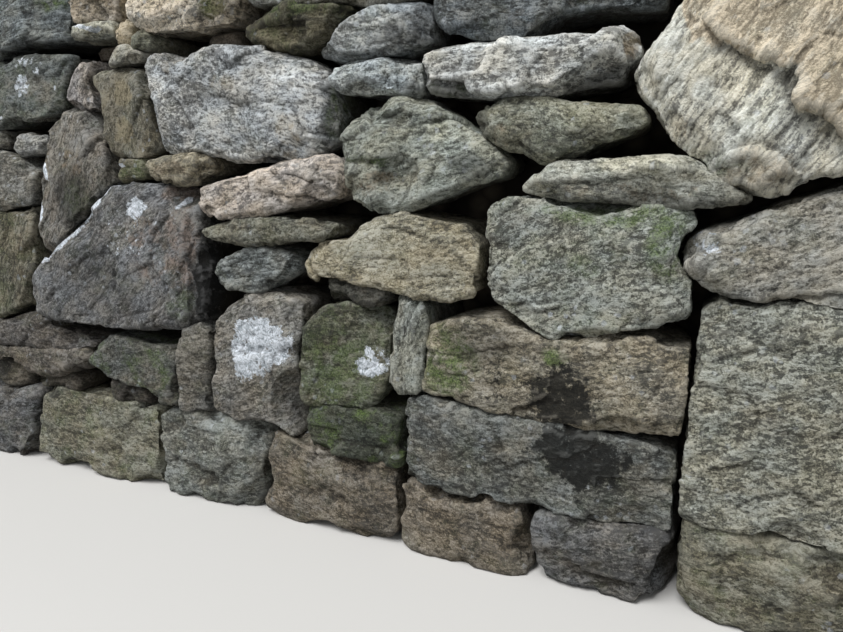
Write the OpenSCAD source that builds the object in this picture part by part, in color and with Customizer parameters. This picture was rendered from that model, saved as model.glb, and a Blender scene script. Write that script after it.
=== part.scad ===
// Free-standing dry stone wall: two battered faces of gneiss rubble laid without
// mortar over a packed core, with built heads, through stones and flat cap stones.
// X runs along the wall, the front face looks towards -Y, Z is up, millimetres.

/* [Wall] */
// Length of the wall
wall_length = 1800; // [1700:10:2200]
// Thickness at the floor
base_width = 500; // [480:5:560]
// Rise for each millimetre that a face leans in
batter = 12; // [11:1:20]
// Depth of a face stone from the face to the core
stone_depth = 135; // [110:5:140]

/* [Cap stones] */
// Thickness of the cap stones
cap_thickness = 74; // [60:1:90]
// How far the cap stones stand out over each face
cap_overhang = 14; // [8:1:24]

/* [Joints] */
// Open joint between two stones of one course
joint = 4; // [3:0.5:6]
// Usual length of a course stone
stone_length = 175; // [150:5:210]
// Rounding of the visible edges
edge = 5; // [4:1:9]

/* [Hidden] */

half_length = wall_length / 2;
top_z = 800;
wall_face = [-base_width / 2, 1 / batter];
head_face = [-half_length + 6, 0];
head_depth = 148;

// Depth to which a raised layer is rooted in its stone
layer_root = 30;

// How far a back bed rises and falls, and the share of long stones laid as two
bed_wave = 12;
shared_part = 0.22;

// Bed heights of the courses beside the irregular middle of the front
levels = [0, 108, 213, 295, 372, 478, 590, 700, top_z];
last_course = len(levels) - 2;
through_course = 4;
through_spans = [[-668, -580], [630, 722]];
through_height = levels[through_course + 1] - levels[through_course];

// Top of the foundation stones and underside of the top course, along the front
foot_line = [
    [-740, 108], [-606, 104], [-540, 100], [-440, 118], [-300, 112], [-200, 118], [-60, 120],
    [5, 100], [133, 98], [135, 80], [436, 80], [438, 96], [642, 96], [740, 108]
];
upper_line = [
    [-740, 700], [-565, 697], [-380, 702], [-262, 690], [-93, 694],
    [157, 700], [400, 690], [637, 702], [740, 700]
];
function foot(x) = lookup(x, foot_line);
function upper(x) = lookup(x, upper_line);

// Joints of the front courses, left and right of the middle, each [x, slant]
left_joints = [
    [[-half_length, 0], [-690, 7], [-470, -8], [-235, 5]],
    [[-half_length + head_depth, 0], [-602, 0]],
    [[-half_length, 0], [-680, 9], [-602, 0]],
    [[-half_length + head_depth, 0], [-602, 0]],
    [[-half_length, 0], [-670, 0]],
    [[-half_length + head_depth, 0], [-592, 0]],
    [[-half_length, 0], [-700, -12], [-567, 0]],
    [[-half_length + head_depth, 0], [-600, 10], [-385, -9], [-190, 6]]
];
right_joints = [
    [[-235, 5], [-55, -7], [134, 0], [290, 8], [437, 0], [642, 0], [half_length, 0]],
    [[644, 0], [half_length - head_depth, 0]],
    [[644, 0], [725, -10], [half_length, 0]],
    [[616, 0], [half_length - head_depth, 0]],
    [[724, 0], [half_length, 0]],
    [[656, 0], [half_length - head_depth, 0]],
    [[640, 0], [712, 9], [half_length, 0]],
    [[-190, 6], [25, -9], [165, 11], [395, -6], [560, 8], [half_length - head_depth, 0]]
];

// Stones that rise through two courses of the back: [lower course, from, to]
jumpers = [[1, -500, -352], [1, 180, 322], [3, -120, 34], [5, -392, -262], [5, 424, 560]];
// Length of the long stones at the heads of the even back courses
runner_length = 228;
// Joints across the heads, by course, each [u, slant]
head_joints = [[], [], [[24, 7]], [[66, -9]], [], [], [[-30, 8]], [[-58, 9]]];
cap_joints = [-half_length + 4, -655, -400, -180, 85, 300, 560, half_length - 4];

function area(p) = let (n = len(p))
    [for (i = [0:n - 1]) cross(p[i], p[(i + 1) % n])] * [for (i = [0:n - 1]) 0.5];
function turned(p) = area(p) > 0 ? p : [for (i = [len(p) - 1:-1:0]) p[i]];
function middle(p) = let (n = len(p), s = 1 / (6 * area(p))) s * [
    [for (i = [0:n - 1]) (p[i].x + p[(i + 1) % n].x) * cross(p[i], p[(i + 1) % n])],
    [for (i = [0:n - 1]) (p[i].y + p[(i + 1) % n].y) * cross(p[i], p[(i + 1) % n])]
] * [for (i = [0:n - 1]) 1];

// An outline drawn in by about d on every side, about its middle
function inset(p, d) = let (
    m = middle(p),
    xs = [for (q = p) q.x],
    ys = [for (q = p) q.y],
    fx = 1 - 2 * d / (max(xs) - min(xs)),
    fy = 1 - 2 * d / (max(ys) - min(ys))
) [for (q = p) [m.x + (q.x - m.x) * fx, m.y + (q.y - m.y) * fy]];

// Closed solid through rings of like length, with a middle point on each end
module loft(rings, first, last) {
    n = len(rings[0]);
    count = len(rings);
    points = [each [for (r = rings) each r], first, last];
    sides = [
        for (r = [0:count - 2], i = [0:n - 1])
            let (a = r * n + i, b = r * n + (i + 1) % n)
            each [[a, b, b + n], [a, b + n, a + n]]
    ];
    ends = [
        for (i = [0:n - 1])
            let (a = i, b = (i + 1) % n, z = (count - 1) * n)
            each [[count * n, b, a], [count * n + 1, z + a, z + b]]
    ];
    polyhedron(points = points, faces = concat(sides, ends));
}

// A face stone: outline [x, z] on the face, a rounded front that may stand proud or
// tilt, and a tail that narrows where taper is over 0. The front rises a little more to
// a peak beside its middle
module stone(outline, proud = 0, tilt = [0, 0], soft = edge, taper = 10, depth = stone_depth,
             face = wall_face, peak = [0, 0]) {
    o = turned(outline);
    m = middle(o);
    function at(p, y) = [p.x, face[0] + face[1] * p.y + y, p.y];
    function lean(p) = (p - m) * tilt / 100 - proud;
    crown = inset(o, soft);
    shoulder = inset(o, soft * 0.25);
    rings = concat(
        [[for (p = crown) at(p, lean(p))]],
        taper > 0 && soft > 5 ? [[for (p = shoulder) at(p, lean(p) + soft * 0.5)]] : [],
        [[for (p = o) at(p, lean(p) + soft * 1.3)], [for (p = inset(o, taper)) at(p, depth)]]
    );
    loft(rings, at(m + peak, lean(m + peak) - soft * 0.3), at(m, depth));
}

// A layer of the grain that still stands on a stone, with a broken edge
module layer(outline, proud, tilt = [0, 0]) {
    stone(outline, proud = proud, tilt = tilt, soft = 3, taper = 0, depth = layer_root);
}

// Front stones that are told apart, each with its own outline
module blue_laminated_stone() {
    color("slategray") stone([
        [-562, 584], [-528, 586], [-508, 598], [-440, 601], [-374, 603], [-373, upper(-373)],
        [-380, 702], [-562, upper(-562)]
    ], proud = 2, tilt = [0, 3]);
}

module pale_tan_stone() {
    color("tan") {
        stone([
            [-264, 616], [-252, 602], [-110, 602], [-98, 611], [-95, 650], [-99, upper(-99)],
            [-262, 690]
        ], proud = -3, tilt = [3, 2]);
        layer([
            [-258, 614], [-248, 606], [-190, 606], [-165, 612], [-160, 640], [-165, 685], [-256, 682]
        ], proud = 4, tilt = [3, 2]);
    }
}

// A ridge along the top stands out over a smooth lower face
module olive_layered_stone() {
    color("darkolivegreen") {
        stone([
            [-91, 590], [-76, 578], [-60, 570], [-40, 565], [0, 566], [24, 573], [36, 580],
            [41, 596], [58, 603], [57, 609], [40, 614], [0, 616], [-40, 619], [-60, 613], [-88, 602]
        ], proud = -10, soft = 5);
        layer([
            [-82, 600], [-60, 599], [-40, 598], [0, 596], [30, 598], [50, 604], [40, 610],
            [0, 612], [-40, 615], [-60, 609]
        ], proud = 2, tilt = [0, 6]);
        layer([[2, 574], [20, 577], [32, 584], [36, 596], [20, 604], [4, 602]], proud = -2);
    }
}

module blue_lumpy_stone() {
    color("lightslategray") {
        stone([
            [10, 560], [18, 556], [52, 551], [118, 553], [140, 560], [156, 565], [157, 586],
            [150, 601], [110, 606], [85, 605], [62, 597], [45, 592], [40, 580], [34, 570], [14, 566]
        ], proud = -4, soft = 5);
        layer([
            [44, 590], [62, 594], [86, 602], [108, 602], [122, 592], [124, 575], [112, 560],
            [100, 556], [54, 555], [20, 559], [36, 567], [44, 580]
        ], proud = 5, tilt = [-3, 4]);
    }
}

module dark_long_stone() {
    color("dimgray") stone([
        [160, 586], [165, 577], [190, 568], [205, 562], [255, 562], [270, 572], [285, 581],
        [325, 584], [386, 578], [396, 640], [393, upper(393)], [159, upper(159)], [158, 605]
    ], proud = -4, tilt = [0, 4]);
}

// The boulder still carries part of its upper layer, which ends in a broken step,
// and a lens of it low down
module tan_boulder() {
    color("burlywood") {
        stone([
            [363, 520], [367, 505], [378, 495], [388, 480], [400, 460], [414, 449], [430, 436],
            [450, 423], [463, 414], [485, 410], [500, 413], [525, 424], [562, 428], [600, 428],
            [625, 455], [627, 478], [651, 490], [650, 584], [636, 589], [635, upper(635)],
            [404, upper(404)], [402, 640], [404, 580], [395, 568], [385, 545], [370, 530]
        ], proud = 7, tilt = [-1, 2], soft = 8);
        layer([
            [420, 562], [434, 545], [463, 528], [480, 519], [497, 512], [500, 500], [502, 480],
            [522, 480], [537, 458], [606, 458], [620, 484], [642, 496], [642, 578], [626, 584],
            [626, 690], [440, 690], [424, 620]
        ], proud = 16, tilt = [-6, 8]);
        layer([
            [440, 437], [452, 445], [466, 452], [482, 450], [493, 443], [502, 426], [488, 417],
            [468, 419], [452, 428]
        ], proud = 12, tilt = [0, 3]);
    }
}

module lichen_spotted_stone() {
    color("darkslategray") stone([
        [-588, 484], [-560, 486], [-515, 490], [-480, 498], [-440, 500], [-420, 503], [-402, 507],
        [-391, 516], [-384, 538], [-376, 560], [-370, 579], [-400, 582], [-455, 588], [-495, 587],
        [-506, 578], [-516, 577], [-528, 586], [-562, 584], [-588, 582]
    ], proud = 2, tilt = [0, 2]);
}

module upright_brown_stone() {
    color("dimgray") stone([
        [-330, 515], [-326, 495], [-320, 470], [-312, 456], [-303, 446], [-280, 446], [-250, 447],
        [-227, 457], [-229, 470], [-236, 500], [-245, 530], [-251, 552], [-262, 561], [-295, 565],
        [-312, 563], [-333, 558], [-341, 550]
    ], proud = -3, tilt = [1, -1]);
}

// The upper part of the face overhangs a shallow hollow, and both parts stand out
// from the end on the right
module great_speckled_stone() {
    color("lightgray") {
        stone([
            [-241, 530], [-232, 500], [-222, 455], [-190, 449], [-150, 450], [-122, 446],
            [-105, 441], [-30, 440], [0, 443], [25, 456], [40, 466], [42, 490], [38, 510],
            [30, 528], [24, 541], [10, 549], [-10, 557], [-40, 565], [-60, 570], [-95, 574],
            [-135, 580], [-170, 571], [-200, 571], [-220, 580], [-240, 572], [-247, 560]
        ], proud = -4, tilt = [0, 1], soft = 5);
        layer([
            [-241, 560], [-237, 538], [-231, 515], [-205, 512], [-182, 516], [-160, 520],
            [-125, 523], [-105, 518], [-88, 508], [-60, 503], [-20, 504], [27, 506], [27, 522],
            [20, 538], [-18, 555], [-60, 567], [-95, 571], [-123, 577], [-160, 569], [-200, 568],
            [-217, 572]
        ], proud = 5, tilt = [1, 4]);
        layer([
            [-227, 520], [-222, 488], [-215, 460], [-150, 454], [-115, 450], [-93, 443],
            [-30, 444], [0, 449], [20, 461], [27, 484], [28, 510], [-20, 508], [-58, 505],
            [-86, 497], [-108, 505], [-142, 509], [-172, 507], [-200, 514]
        ], proud = 4, tilt = [-1, -3]);
    }
}

module small_blue_stone() {
    color("lightslategray") {
        stone([
            [33, 530], [42, 514], [118, 510], [140, 508], [144, 516], [143, 549], [118, 553],
            [52, 551], [40, 545]
        ], proud = -8, soft = 5);
        layer([
            [36, 530], [40, 541], [50, 547], [78, 546], [100, 550], [116, 548], [118, 530],
            [116, 514], [85, 514], [46, 517]
        ], proud = 3);
    }
}

// The lower edge is broken off in steps at both ends
module long_slab() {
    color("silver") {
        stone([
            [148, 516], [165, 508], [225, 505], [236, 503], [285, 503], [302, 506], [330, 509],
            [350, 513], [355, 526], [366, 538], [362, 555], [350, 562], [195, 562], [154, 555],
            [148, 548]
        ], proud = -9, tilt = [0, -2], soft = 5);
        layer([
            [151, 550], [151, 526], [180, 523], [201, 520], [204, 512], [226, 506], [240, 509],
            [244, 513], [251, 507], [259, 508], [265, 512], [299, 511], [316, 519], [328, 527],
            [336, 530.5],
            [346, 531], [355, 534], [354, 547], [348, 558], [280, 559], [197, 559], [188, 553],
            [156, 552]
        ], proud = 6, tilt = [0, -2]);
    }
}

// Folded layers: an arched band on top, the main face, and a lower one that leans back
module folded_stone() {
    color("gray") {
        stone([
            [46, 458], [49, 440], [56, 415], [62, 398], [80, 389], [98, 383], [130, 385],
            [150, 392], [170, 402], [205, 418], [236, 425], [241, 438], [225, 456], [200, 473],
            [152, 503], [140, 508], [118, 510], [95, 503], [72, 493], [60, 480]
        ], proud = -4, tilt = [3, 1], soft = 5);
        layer([
            [80, 490], [100, 490.5], [122, 491], [146, 489], [165, 485], [172, 488], [152, 500],
            [139, 504], [119, 506], [97, 500]
        ], proud = 4);
        layer([
            [50, 458], [54, 447], [70, 444], [92, 443], [118, 448], [142, 445], [168, 448],
            [190, 450], [203, 449], [188, 466], [166, 479], [149, 485], [126, 482], [116, 477],
            [98, 481], [78, 484], [66, 476], [57, 467]
        ], proud = 8, tilt = [3, 3]);
        layer([
            [60, 436], [64, 420], [70, 402], [84, 393], [100, 388], [128, 389], [148, 396],
            [168, 406], [202, 421], [216, 427], [210, 440], [196, 446], [170, 444], [144, 440],
            [120, 441], [90, 438]
        ], proud = 3, tilt = [0, -9]);
    }
}

module pointed_stone() {
    color("gray") {
        stone([
            [206, 489], [208, 474], [226, 459], [246, 450], [262, 448], [280, 438], [290, 436],
            [300, 438], [312, 447], [330, 455], [362, 464], [380, 476], [371, 489], [340, 494],
            [300, 499], [285, 503], [236, 503], [222, 494]
        ], proud = -7, tilt = [0, -3], soft = 5);
        layer([
            [226, 492], [262, 496], [300, 494], [342, 488], [368, 480], [362, 470], [338, 464],
            [312, 456], [294, 443], [283, 443], [272, 454], [256, 461], [238, 463], [228, 476]
        ], proud = 4, tilt = [0, -4]);
    }
}

module flat_pink_stone() {
    color("rosybrown") {
        stone([
            [262, 412], [300, 402], [400, 397], [440, 397], [476, 402], [450, 423], [430, 436],
            [416, 442], [400, 443], [340, 442], [300, 438], [290, 436], [275, 425]
        ], proud = -1, tilt = [0, -6], soft = 5);
        layer([
            [281, 424], [300, 433], [340, 438], [400, 439], [416, 436], [428, 429], [400, 424],
            [340, 422], [300, 421]
        ], proud = 6, tilt = [0, 8]);
    }
}

module purple_boulder() {
    color("thistle") stone([
        [-572, 371], [-522, 372], [-500, 379], [-470, 383], [-461, 392], [-454, 410], [-452, 430],
        [-470, 441], [-485, 447], [-508, 456], [-530, 461], [-572, 456]
    ], proud = 3);
}

module upright_pinkish_stone() {
    color("rosybrown") {
        stone([
            [-442, 306], [-425, 316], [-388, 347], [-345, 382], [-303, 417], [-308, 432],
            [-316, 455], [-322, 470], [-335, 483], [-339, 495], [-346, 504], [-360, 510],
            [-386, 514], [-402, 507], [-420, 503], [-424, 486], [-426, 470], [-438, 440],
            [-447, 425], [-449, 405], [-456, 385], [-461, 365], [-455, 335]
        ], proud = 2, tilt = [-2, 0], soft = 8);
        layer([
            [-398, 470], [-410, 490], [-400, 502], [-384, 510], [-360, 506], [-346, 500],
            [-341, 492], [-339, 482], [-352, 470], [-372, 466]
        ], proud = 9, tilt = [-3, 6]);
    }
}

// Two facets meet in a ridge on the face, which ends in a sharp arris on the right
module diamond_stone() {
    color("dimgray") {
        stone([
            [-300, 414], [-345, 377], [-388, 342], [-425, 308], [-456, 278], [-466, 256],
            [-456, 236], [-446, 226], [-428, 221], [-350, 216], [-300, 217], [-185, 228],
            [-150, 240], [-144, 262], [-142, 300], [-152, 345],
            [-158, 392], [-170, 402], [-190, 410], [-222, 415], [-262, 417]
        ], proud = -4, soft = 5);
        layer([
            [-300, 410], [-345, 374], [-388, 339], [-424, 305], [-452, 276], [-461, 256],
            [-443, 230], [-405, 224], [-300, 221], [-190, 232], [-170, 250], [-166, 300],
            [-172, 345], [-170, 385], [-192, 404], [-262, 412]
        ], proud = 7, tilt = [1, 3]);
        layer([
            [-333, 378], [-300, 405], [-262, 408], [-222, 406], [-194, 401], [-174, 391],
            [-172, 372], [-176, 347], [-205, 343], [-245, 341], [-281, 341]
        ], proud = 9, tilt = [4, 9]);
    }
}

// A broken layer arches over the right part of the face
module long_tan_stone() {
    color("tan") {
        stone([
            [-157, 396], [-153, 388], [-144, 378], [-125, 371], [-100, 370], [-60, 374],
            [-40, 381], [0, 388], [25, 394], [46, 402], [54, 420], [50, 435], [45, 443],
            [25, 444], [0, 443], [-30, 440], [-60, 433], [-100, 424], [-120, 420],
            [-148, 412], [-160, 404]
        ], proud = -3, soft = 5);
        layer([
            [-155, 402], [-152, 391], [-141, 382], [-110, 376], [-70, 380], [-48, 388],
            [-22, 391], [-12, 396], [14, 399], [27, 408], [46, 411], [32, 417], [16, 416],
            [4, 422], [-10, 426], [-26, 425], [-36, 421], [-46, 433], [-75, 427], [-120, 416]
        ], proud = 4, tilt = [0, -2]);
        layer([
            [-42, 432], [-24, 429], [-8, 428], [6, 425], [18, 420], [34, 420], [49, 415],
            [50, 424], [45, 438], [25, 441], [0, 440], [-28, 437]
        ], proud = 6, tilt = [0, 3]);
    }
}

module upright_olive_stone() {
    color("darkkhaki") stone([
        [-598, 207], [-592, 207], [-556, 209], [-537, 213], [-500, 228], [-474, 240], [-471, 260],
        [-460, 284], [-466, 320], [-463, 345], [-470, 380], [-500, 373], [-522, 372], [-572, 371],
        [-598, 371]
    ], proud = 3);
}

module striped_stone() {
    color("dimgray") stone([
        [-132, 292], [-112, 286], [-84, 283], [-60, 284], [-42, 298], [-20, 308], [-8, 319],
        [-15, 331], [-45, 341], [-75, 341], [-100, 333], [-118, 322], [-130, 306]
    ], proud = 0, soft = 7);
}

module lichen_stone() {
    color("gray") stone([
        [-132, foot(-132)], [-60, 120], [-10, foot(-10)], [-12, 150], [-5, 180], [-3, 230],
        [-5, 276], [-40, 283], [-60, 284], [-84, 283], [-108, 270], [-130, 245], [-134, 200]
    ], proud = 2);
}

module dark_flat_stone() {
    color("dimgray") stone([
        [-592, 173], [-535, 172], [-440, 175], [-400, 178], [-365, 181], [-350, 185], [-345, 190],
        [-370, 198], [-410, 208], [-428, 221], [-446, 226], [-462, 226], [-485, 223], [-505, 217],
        [-535, 210], [-556, 209], [-592, 207]
    ], proud = 0, soft = 6);
}

module brown_flat_stone() {
    color("dimgray") stone([
        [-592, 150], [-560, 150], [-510, 150], [-490, 145], [-478, 137], [-465, 132], [-440, 132],
        [-400, 140], [-375, 149], [-362, 158], [-358, 172], [-365, 181], [-400, 178], [-440, 175],
        [-535, 172], [-592, 173]
    ], proud = -1, soft = 6);
}

module dark_green_stone() {
    color("darkolivegreen") stone([
        [-356, 162], [-340, 152], [-310, 147], [-262, 140], [-228, 128], [-206, foot(-206)],
        [-200, 118], [-200, 200], [-240, 201], [-270, 205], [-300, 208],
        [-322, 205], [-340, 195], [-352, 180]
    ], proud = 1);
}

module long_pink_stone() {
    color("rosybrown") stone([
        [3, 320], [15, 309], [50, 305], [100, 300], [125, 296], [150, 292], [190, 292], [215, 300],
        [217, 352], [198, 374], [155, 380], [130, 385], [98, 383], [75, 370], [60, 355], [28, 351],
        [8, 338]
    ], proud = 2);
}

module square_green_stone() {
    color("gray") stone([
        [222, 330], [236, 298], [268, 278], [300, 263], [330, 263], [360, 277], [395, 285],
        [430, 289], [428, 328], [414, 352], [417, 369], [429, 383], [424, 394], [400, 397],
        [300, 402], [245, 403], [226, 395]
    ], proud = 3, tilt = [0, 1]);
}

module mossy_stone() {
    color("darkolivegreen") stone([
        [1, 250], [2, 175], [4, 152], [40, 154], [90, 160], [108, 180], [117, 215], [117, 262],
        [106, 278], [60, 280], [34, 276], [20, 268]
    ], proud = 1);
}

module brown_long_stone() {
    color("dimgray") stone([
        [162, 191], [200, 187], [250, 178], [340, 172], [400, 176], [431, 181], [433, 266],
        [415, 264], [395, 273], [360, 271], [330, 263], [300, 263], [268, 268], [240, 277],
        [200, 275], [161, 262]
    ], proud = 2);
}

module bottom_slab() {
    color("dimgray") stone([
        [137, 80], [430, 80], [429, 158], [400, 166], [340, 172], [250, 178], [210, 180],
        [165, 183], [140, 178], [135, 150]
    ], proud = -2);
}

module corner_grey_stone() {
    color("gray") stone([
        [418, 352], [440, 326], [460, 318], [520, 316], [602, 303], [612, 340], [611, 424],
        [600, 428], [562, 428], [545, 416], [500, 402], [462, 382], [436, 376], [421, 366]
    ], proud = 0);
}

module speckled_block() {
    color("gray") stone([
        [437, 96], [640, 96], [640, 200], [637, 290], [612, 294], [602, 303], [520, 316],
        [460, 318], [440, 300], [436, 180]
    ], proud = 0);
}

// A small stone of even section
module wedge(outline, proud, soft = 4) {
    stone(outline, proud = proud, soft = soft, taper = 0);
}

// Middling stones that fill between the others and don't touch each other
module packing_stones() {
    color("gray") {
        wedge([[-308, 563.5], [-295, 565], [-280, 566], [-262, 567], [-250, 571], [-246, 578],
            [-268, 589], [-288, 589], [-300, 578]], proud = -1, soft = 4);
        wedge([[-369, 622], [-330, 621], [-288, 623], [-287, 650], [-290, upper(-290)],
            [-369, upper(-369)]], proud = 1, soft = 7);
        wedge([[-285, 620], [-268, 621], [-267, 640], [-268, upper(-268)], [-284, upper(-284)]],
            proud = -6, soft = 4);
        wedge([[-386, 514], [-360, 510], [-337, 512], [-341, 530], [-348, 548], [-340, 563],
            [-347, 574], [-360, 574], [-367, 565], [-380, 543]], proud = 0, soft = 6);
        wedge([[-505, 458], [-485, 449], [-460, 455], [-437, 456], [-430, 468], [-432, 480],
            [-460, 481], [-484, 479], [-497, 469]], proud = -3, soft = 6);
        wedge([[-241, 432], [-222, 415], [-190, 410], [-165, 416], [-142, 425], [-134, 438],
            [-138, 447], [-150, 450], [-190, 449], [-215, 447], [-237, 442]], proud = 2, soft = 6);
        layer([[-168, 419], [-150, 423], [-140, 437], [-142, 444], [-152, 446], [-166, 445]], proud = 6);
        wedge([[-194, foot(-194)], [-138, foot(-138)], [-138, 200], [-141, 236], [-150, 240],
            [-185, 228], [-194, 200]], proud = 0);
        wedge([[121, 183], [158, 184], [159, 262], [157, 278], [150, 292], [125, 296], [119, 284],
            [121, 262]], proud = -2, soft = 6);
        wedge([[6, foot(6)], [130, foot(130)], [128, 153], [90, 160], [40, 154], [6, 152]],
            proud = -4);
        wedge([[-90, 626], [-70, 620], [-40, 619], [0, 616], [40, 614], [60, 609], [85, 606],
            [110, 606], [154, 611], [154, upper(154)], [-90, upper(-90)]], proud = 0);
    }
}

// Small stones wedged under the larger ones
module pinnings() {
    color("dimgray") {
        wedge([[-592, foot(-592)], [-540, 100], [-500, foot(-500)], [-496, 140], [-520, 150],
            [-560, 150], [-588, 146]], proud = -14, soft = 6);
        wedge([[-480, foot(-480)], [-440, 118], [-392, foot(-392)], [-388, 130], [-400, 139],
            [-440, 131], [-478, 128]], proud = -12);
        wedge([[-325, foot(-325)], [-300, 112], [-255, foot(-255)], [-262, 140], [-310, 147],
            [-322, 149]], proud = -14, soft = 5);
        wedge([[34, 277], [60, 280], [106, 279], [112, 285], [110, 298], [100, 300], [50, 305],
            [32, 306]], proud = -8);
        wedge([[-300, 414], [-262, 417], [-250, 419], [-246, 438], [-250, 447], [-280, 446],
            [-302, 445], [-300, 430]], proud = -10, soft = 5);
        wedge([[-571, 457], [-530, 461], [-512, 459], [-508, 470], [-518, 489], [-560, 486],
            [-571, 483]], proud = -4, soft = 5);
        wedge([[-359, 576], [-345, 576], [-335, 567], [-312, 572], [-306, 585], [-305, 600],
            [-330, 600], [-361, 600]], proud = -34);
        wedge([[-160, 574], [-135, 580], [-112, 577], [-114, 602], [-162, 602]], proud = -30);
    }
}

// Thin flat pieces that level a bed
module flakes() {
    color("darkgray") {
        wedge([[-369, 603], [-330, 600], [-295, 602], [-294, 616], [-297, 620], [-330, 621],
            [-350, 620], [-368, 616]], proud = 2);
        wedge([[-288, 589], [-268, 589], [-267, 600], [-268, 621], [-285, 620], [-292, 604]],
            proud = -4);
        wedge([[-262, 586], [-246, 581], [-237, 584], [-236, 591], [-240, 602], [-252, 602],
            [-261, 598]], proud = -2);
        wedge([[-149, 357], [-146, 350], [-125, 345], [-75, 341], [-45, 341], [-20, 348],
            [28, 351], [38, 356], [41, 368], [0, 374], [-60, 374], [-100, 370], [-130, 363]],
            proud = 4, soft = 5);
    }
}

// Where the joint [x, slant] stands at height z between two beds
function joint_at(j, z, low, high) = let (a = lookup(j.x, low), b = lookup(j.x, high))
    j.x + j.y * (1 - 2 * (z - a) / (b - a));

// A corner close to a knot of its bed moves onto the knot
function snapped(x, line, a, b) = let (
    near = [for (p = line) if (abs(p.x - x) < 5 && p.x > a && p.x < b) p.x]
) len(near) > 0 ? near[0] : x;
function knots(line, a, b) = [for (p = line) if (p.x > a + 0.1 && p.x < b - 0.1) p];

// Outline of a course stone between two joints, from bottom to top: its corners are
// knocked off by different amounts and its top drops a little at one end
function cell(j0, j1, low, high, bottom, top, seed) = let (
    r = rands(0, 1, 10, seed),
    cut = min(15, (j1.x - j0.x) / 6, (lookup(j0.x, top) - lookup(j0.x, bottom)) / 5),
    c = [for (i = [0:7]) 2 + cut * r[i]],
    drop = r[8] > 0.5 ? [6 * r[9], 0] : [0, 6 * r[9]],
    a0 = joint_at(j0, lookup(j0.x, bottom), low, high) + joint / 2,
    a1 = joint_at(j0, lookup(j0.x, top), low, high) + joint / 2,
    b0 = joint_at(j1, lookup(j1.x, bottom), low, high) - joint / 2,
    b1 = joint_at(j1, lookup(j1.x, top), low, high) - joint / 2,
    z = [
        lookup(a0, bottom) + c[7], lookup(a1, top) - c[6] - drop[0],
        lookup(b0, bottom) + c[2], lookup(b1, top) - c[3] - drop[1]
    ],
    low_a = snapped(a0 + c[0], bottom, a0, b0),
    low_b = snapped(b0 - c[1], bottom, a0, b0),
    high_a = snapped(a1 + c[5], top, a1, b1),
    high_b = snapped(b1 - c[4], top, a1, b1),
    inner_high = knots(top, high_a, high_b),
    n = len(inner_high)
) [
    [low_a, lookup(low_a, bottom)],
    each knots(bottom, low_a, low_b),
    [low_b, lookup(low_b, bottom)],
    [joint_at(j1, z[2], low, high) - joint / 2, z[2]],
    [joint_at(j1, z[3], low, high) - joint / 2 - c[2] / 5, z[3]],
    [high_b, lookup(high_b, top) - drop[1]],
    each [for (i = [1:1:n]) inner_high[n - i]],
    [high_a, lookup(high_a, top) - drop[0]],
    [joint_at(j0, z[1], low, high) + joint / 2 + c[7] / 5, z[1]],
    [joint_at(j0, z[0], low, high) + joint / 2, z[0]]
];

function front_bed(k) = k == 1 ? foot_line : k == last_course ? upper_line : level_bed(k);
function level_bed(k) = [[-half_length, levels[k]], [half_length, levels[k]]];

// A back bed rises and falls between the heads, and stays level at the heads and
// beside the through stones
function back_bed(k) = k == 0 || k > last_course ? level_bed(k) : let (
    reach = k == through_course || k == through_course + 1 ? 572 : half_length - head_depth,
    rise = rands(-bed_wave, bed_wave, 8, 600 + k)
) [
    [-half_length, levels[k]],
    for (i = [0:6]) [reach * (i / 3 - 1), levels[k] + (i % 6 == 0 ? 0 : rise[i])],
    [half_length, levels[k]]
];

// Two thinner stones share the height of some long course stones
function is_shared(a, b, low, high, seed) = b.x - a.x > 120
    && lookup(a.x, high) - lookup(a.x, low) > 84
    && rands(0, 1, 1, seed + 70)[0] < shared_part;
function sharing_line(a, b, low, high, seed) = let (r = rands(-9, 9, 2, seed + 30)) [
    for (j = [[a.x, r[0]], [b.x, r[1]]]) [j.x, (lookup(j.x, low) + lookup(j.x, high)) / 2 + j.y]
];

// Stones of one course. Part 0 holds the whole and the lower stones, part 1 the upper
// ones. A foundation stone stays within the thickness at the floor
module course(joints, low, high, seed, part = 0, plain = false) {
    for (i = [0:len(joints) - 2]) {
        shared = !plain && is_shared(joints[i], joints[i + 1], low, high, seed + i);
        line = sharing_line(joints[i], joints[i + 1], low, high, seed + i);
        bottom = part == 1 ? line : low;
        top = part == 0 && shared ? line : high;
        if (part == 0 || shared)
            course_stone(
                cell(joints[i], joints[i + 1], low, high, bottom, top, seed + i + 500 * part),
                seed + i + 500 * part, plain);
    }
}

module course_stone(outline, seed, plain = false, depth = stone_depth, face = wall_face) {
    r = rands(-1, 1, 5, seed + 90);
    stone(outline, proud = plain ? -0.3 * edge : r[0] * 4, tilt = plain ? [0, 0] : [r[1], r[2]] * 3,
        taper = 0, depth = depth, face = face, peak = [r[3] * 12, r[4] * 6]);
}

// The front courses run in from each head to the irregular middle
module front_course(k, part = 0) {
    course(left_joints[k], front_bed(k), front_bed(k + 1), 100 * k + 7, part, k == 0);
    course(right_joints[k], front_bed(k), front_bed(k + 1), 100 * k + 57, part, k == 0);
}

// Spans that jumpers and through stones take out of a back course
function back_gaps(k) = let (
    rising = [for (j = jumpers) if (j[0] == k || j[0] == k - 1) [j[1], j[2]]],
    runner = -half_length + runner_length,
    through = [for (s = through_spans) [-s[1] - joint / 2, -s[0] + joint / 2]]
) k == through_course ? [through[1], each rising, through[0]]
    : k % 2 == 0 ? [[runner, runner], each rising, [-runner, -runner]] : rising;

// Joints of a run of back stones, with lengths that vary about the usual one
function run_joints(a, b, seed) = let (
    count = max(1, round((b - a) / stone_length)),
    pitch = (b - a) / count,
    r = rands(-1, 1, 2 * count + 2, seed)
) [
    for (i = [0:count])
        i % count == 0 ? [a + i * pitch, 0] : [a + (i + 0.24 * r[i]) * pitch, 14 * r[count + i]]
];

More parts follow.
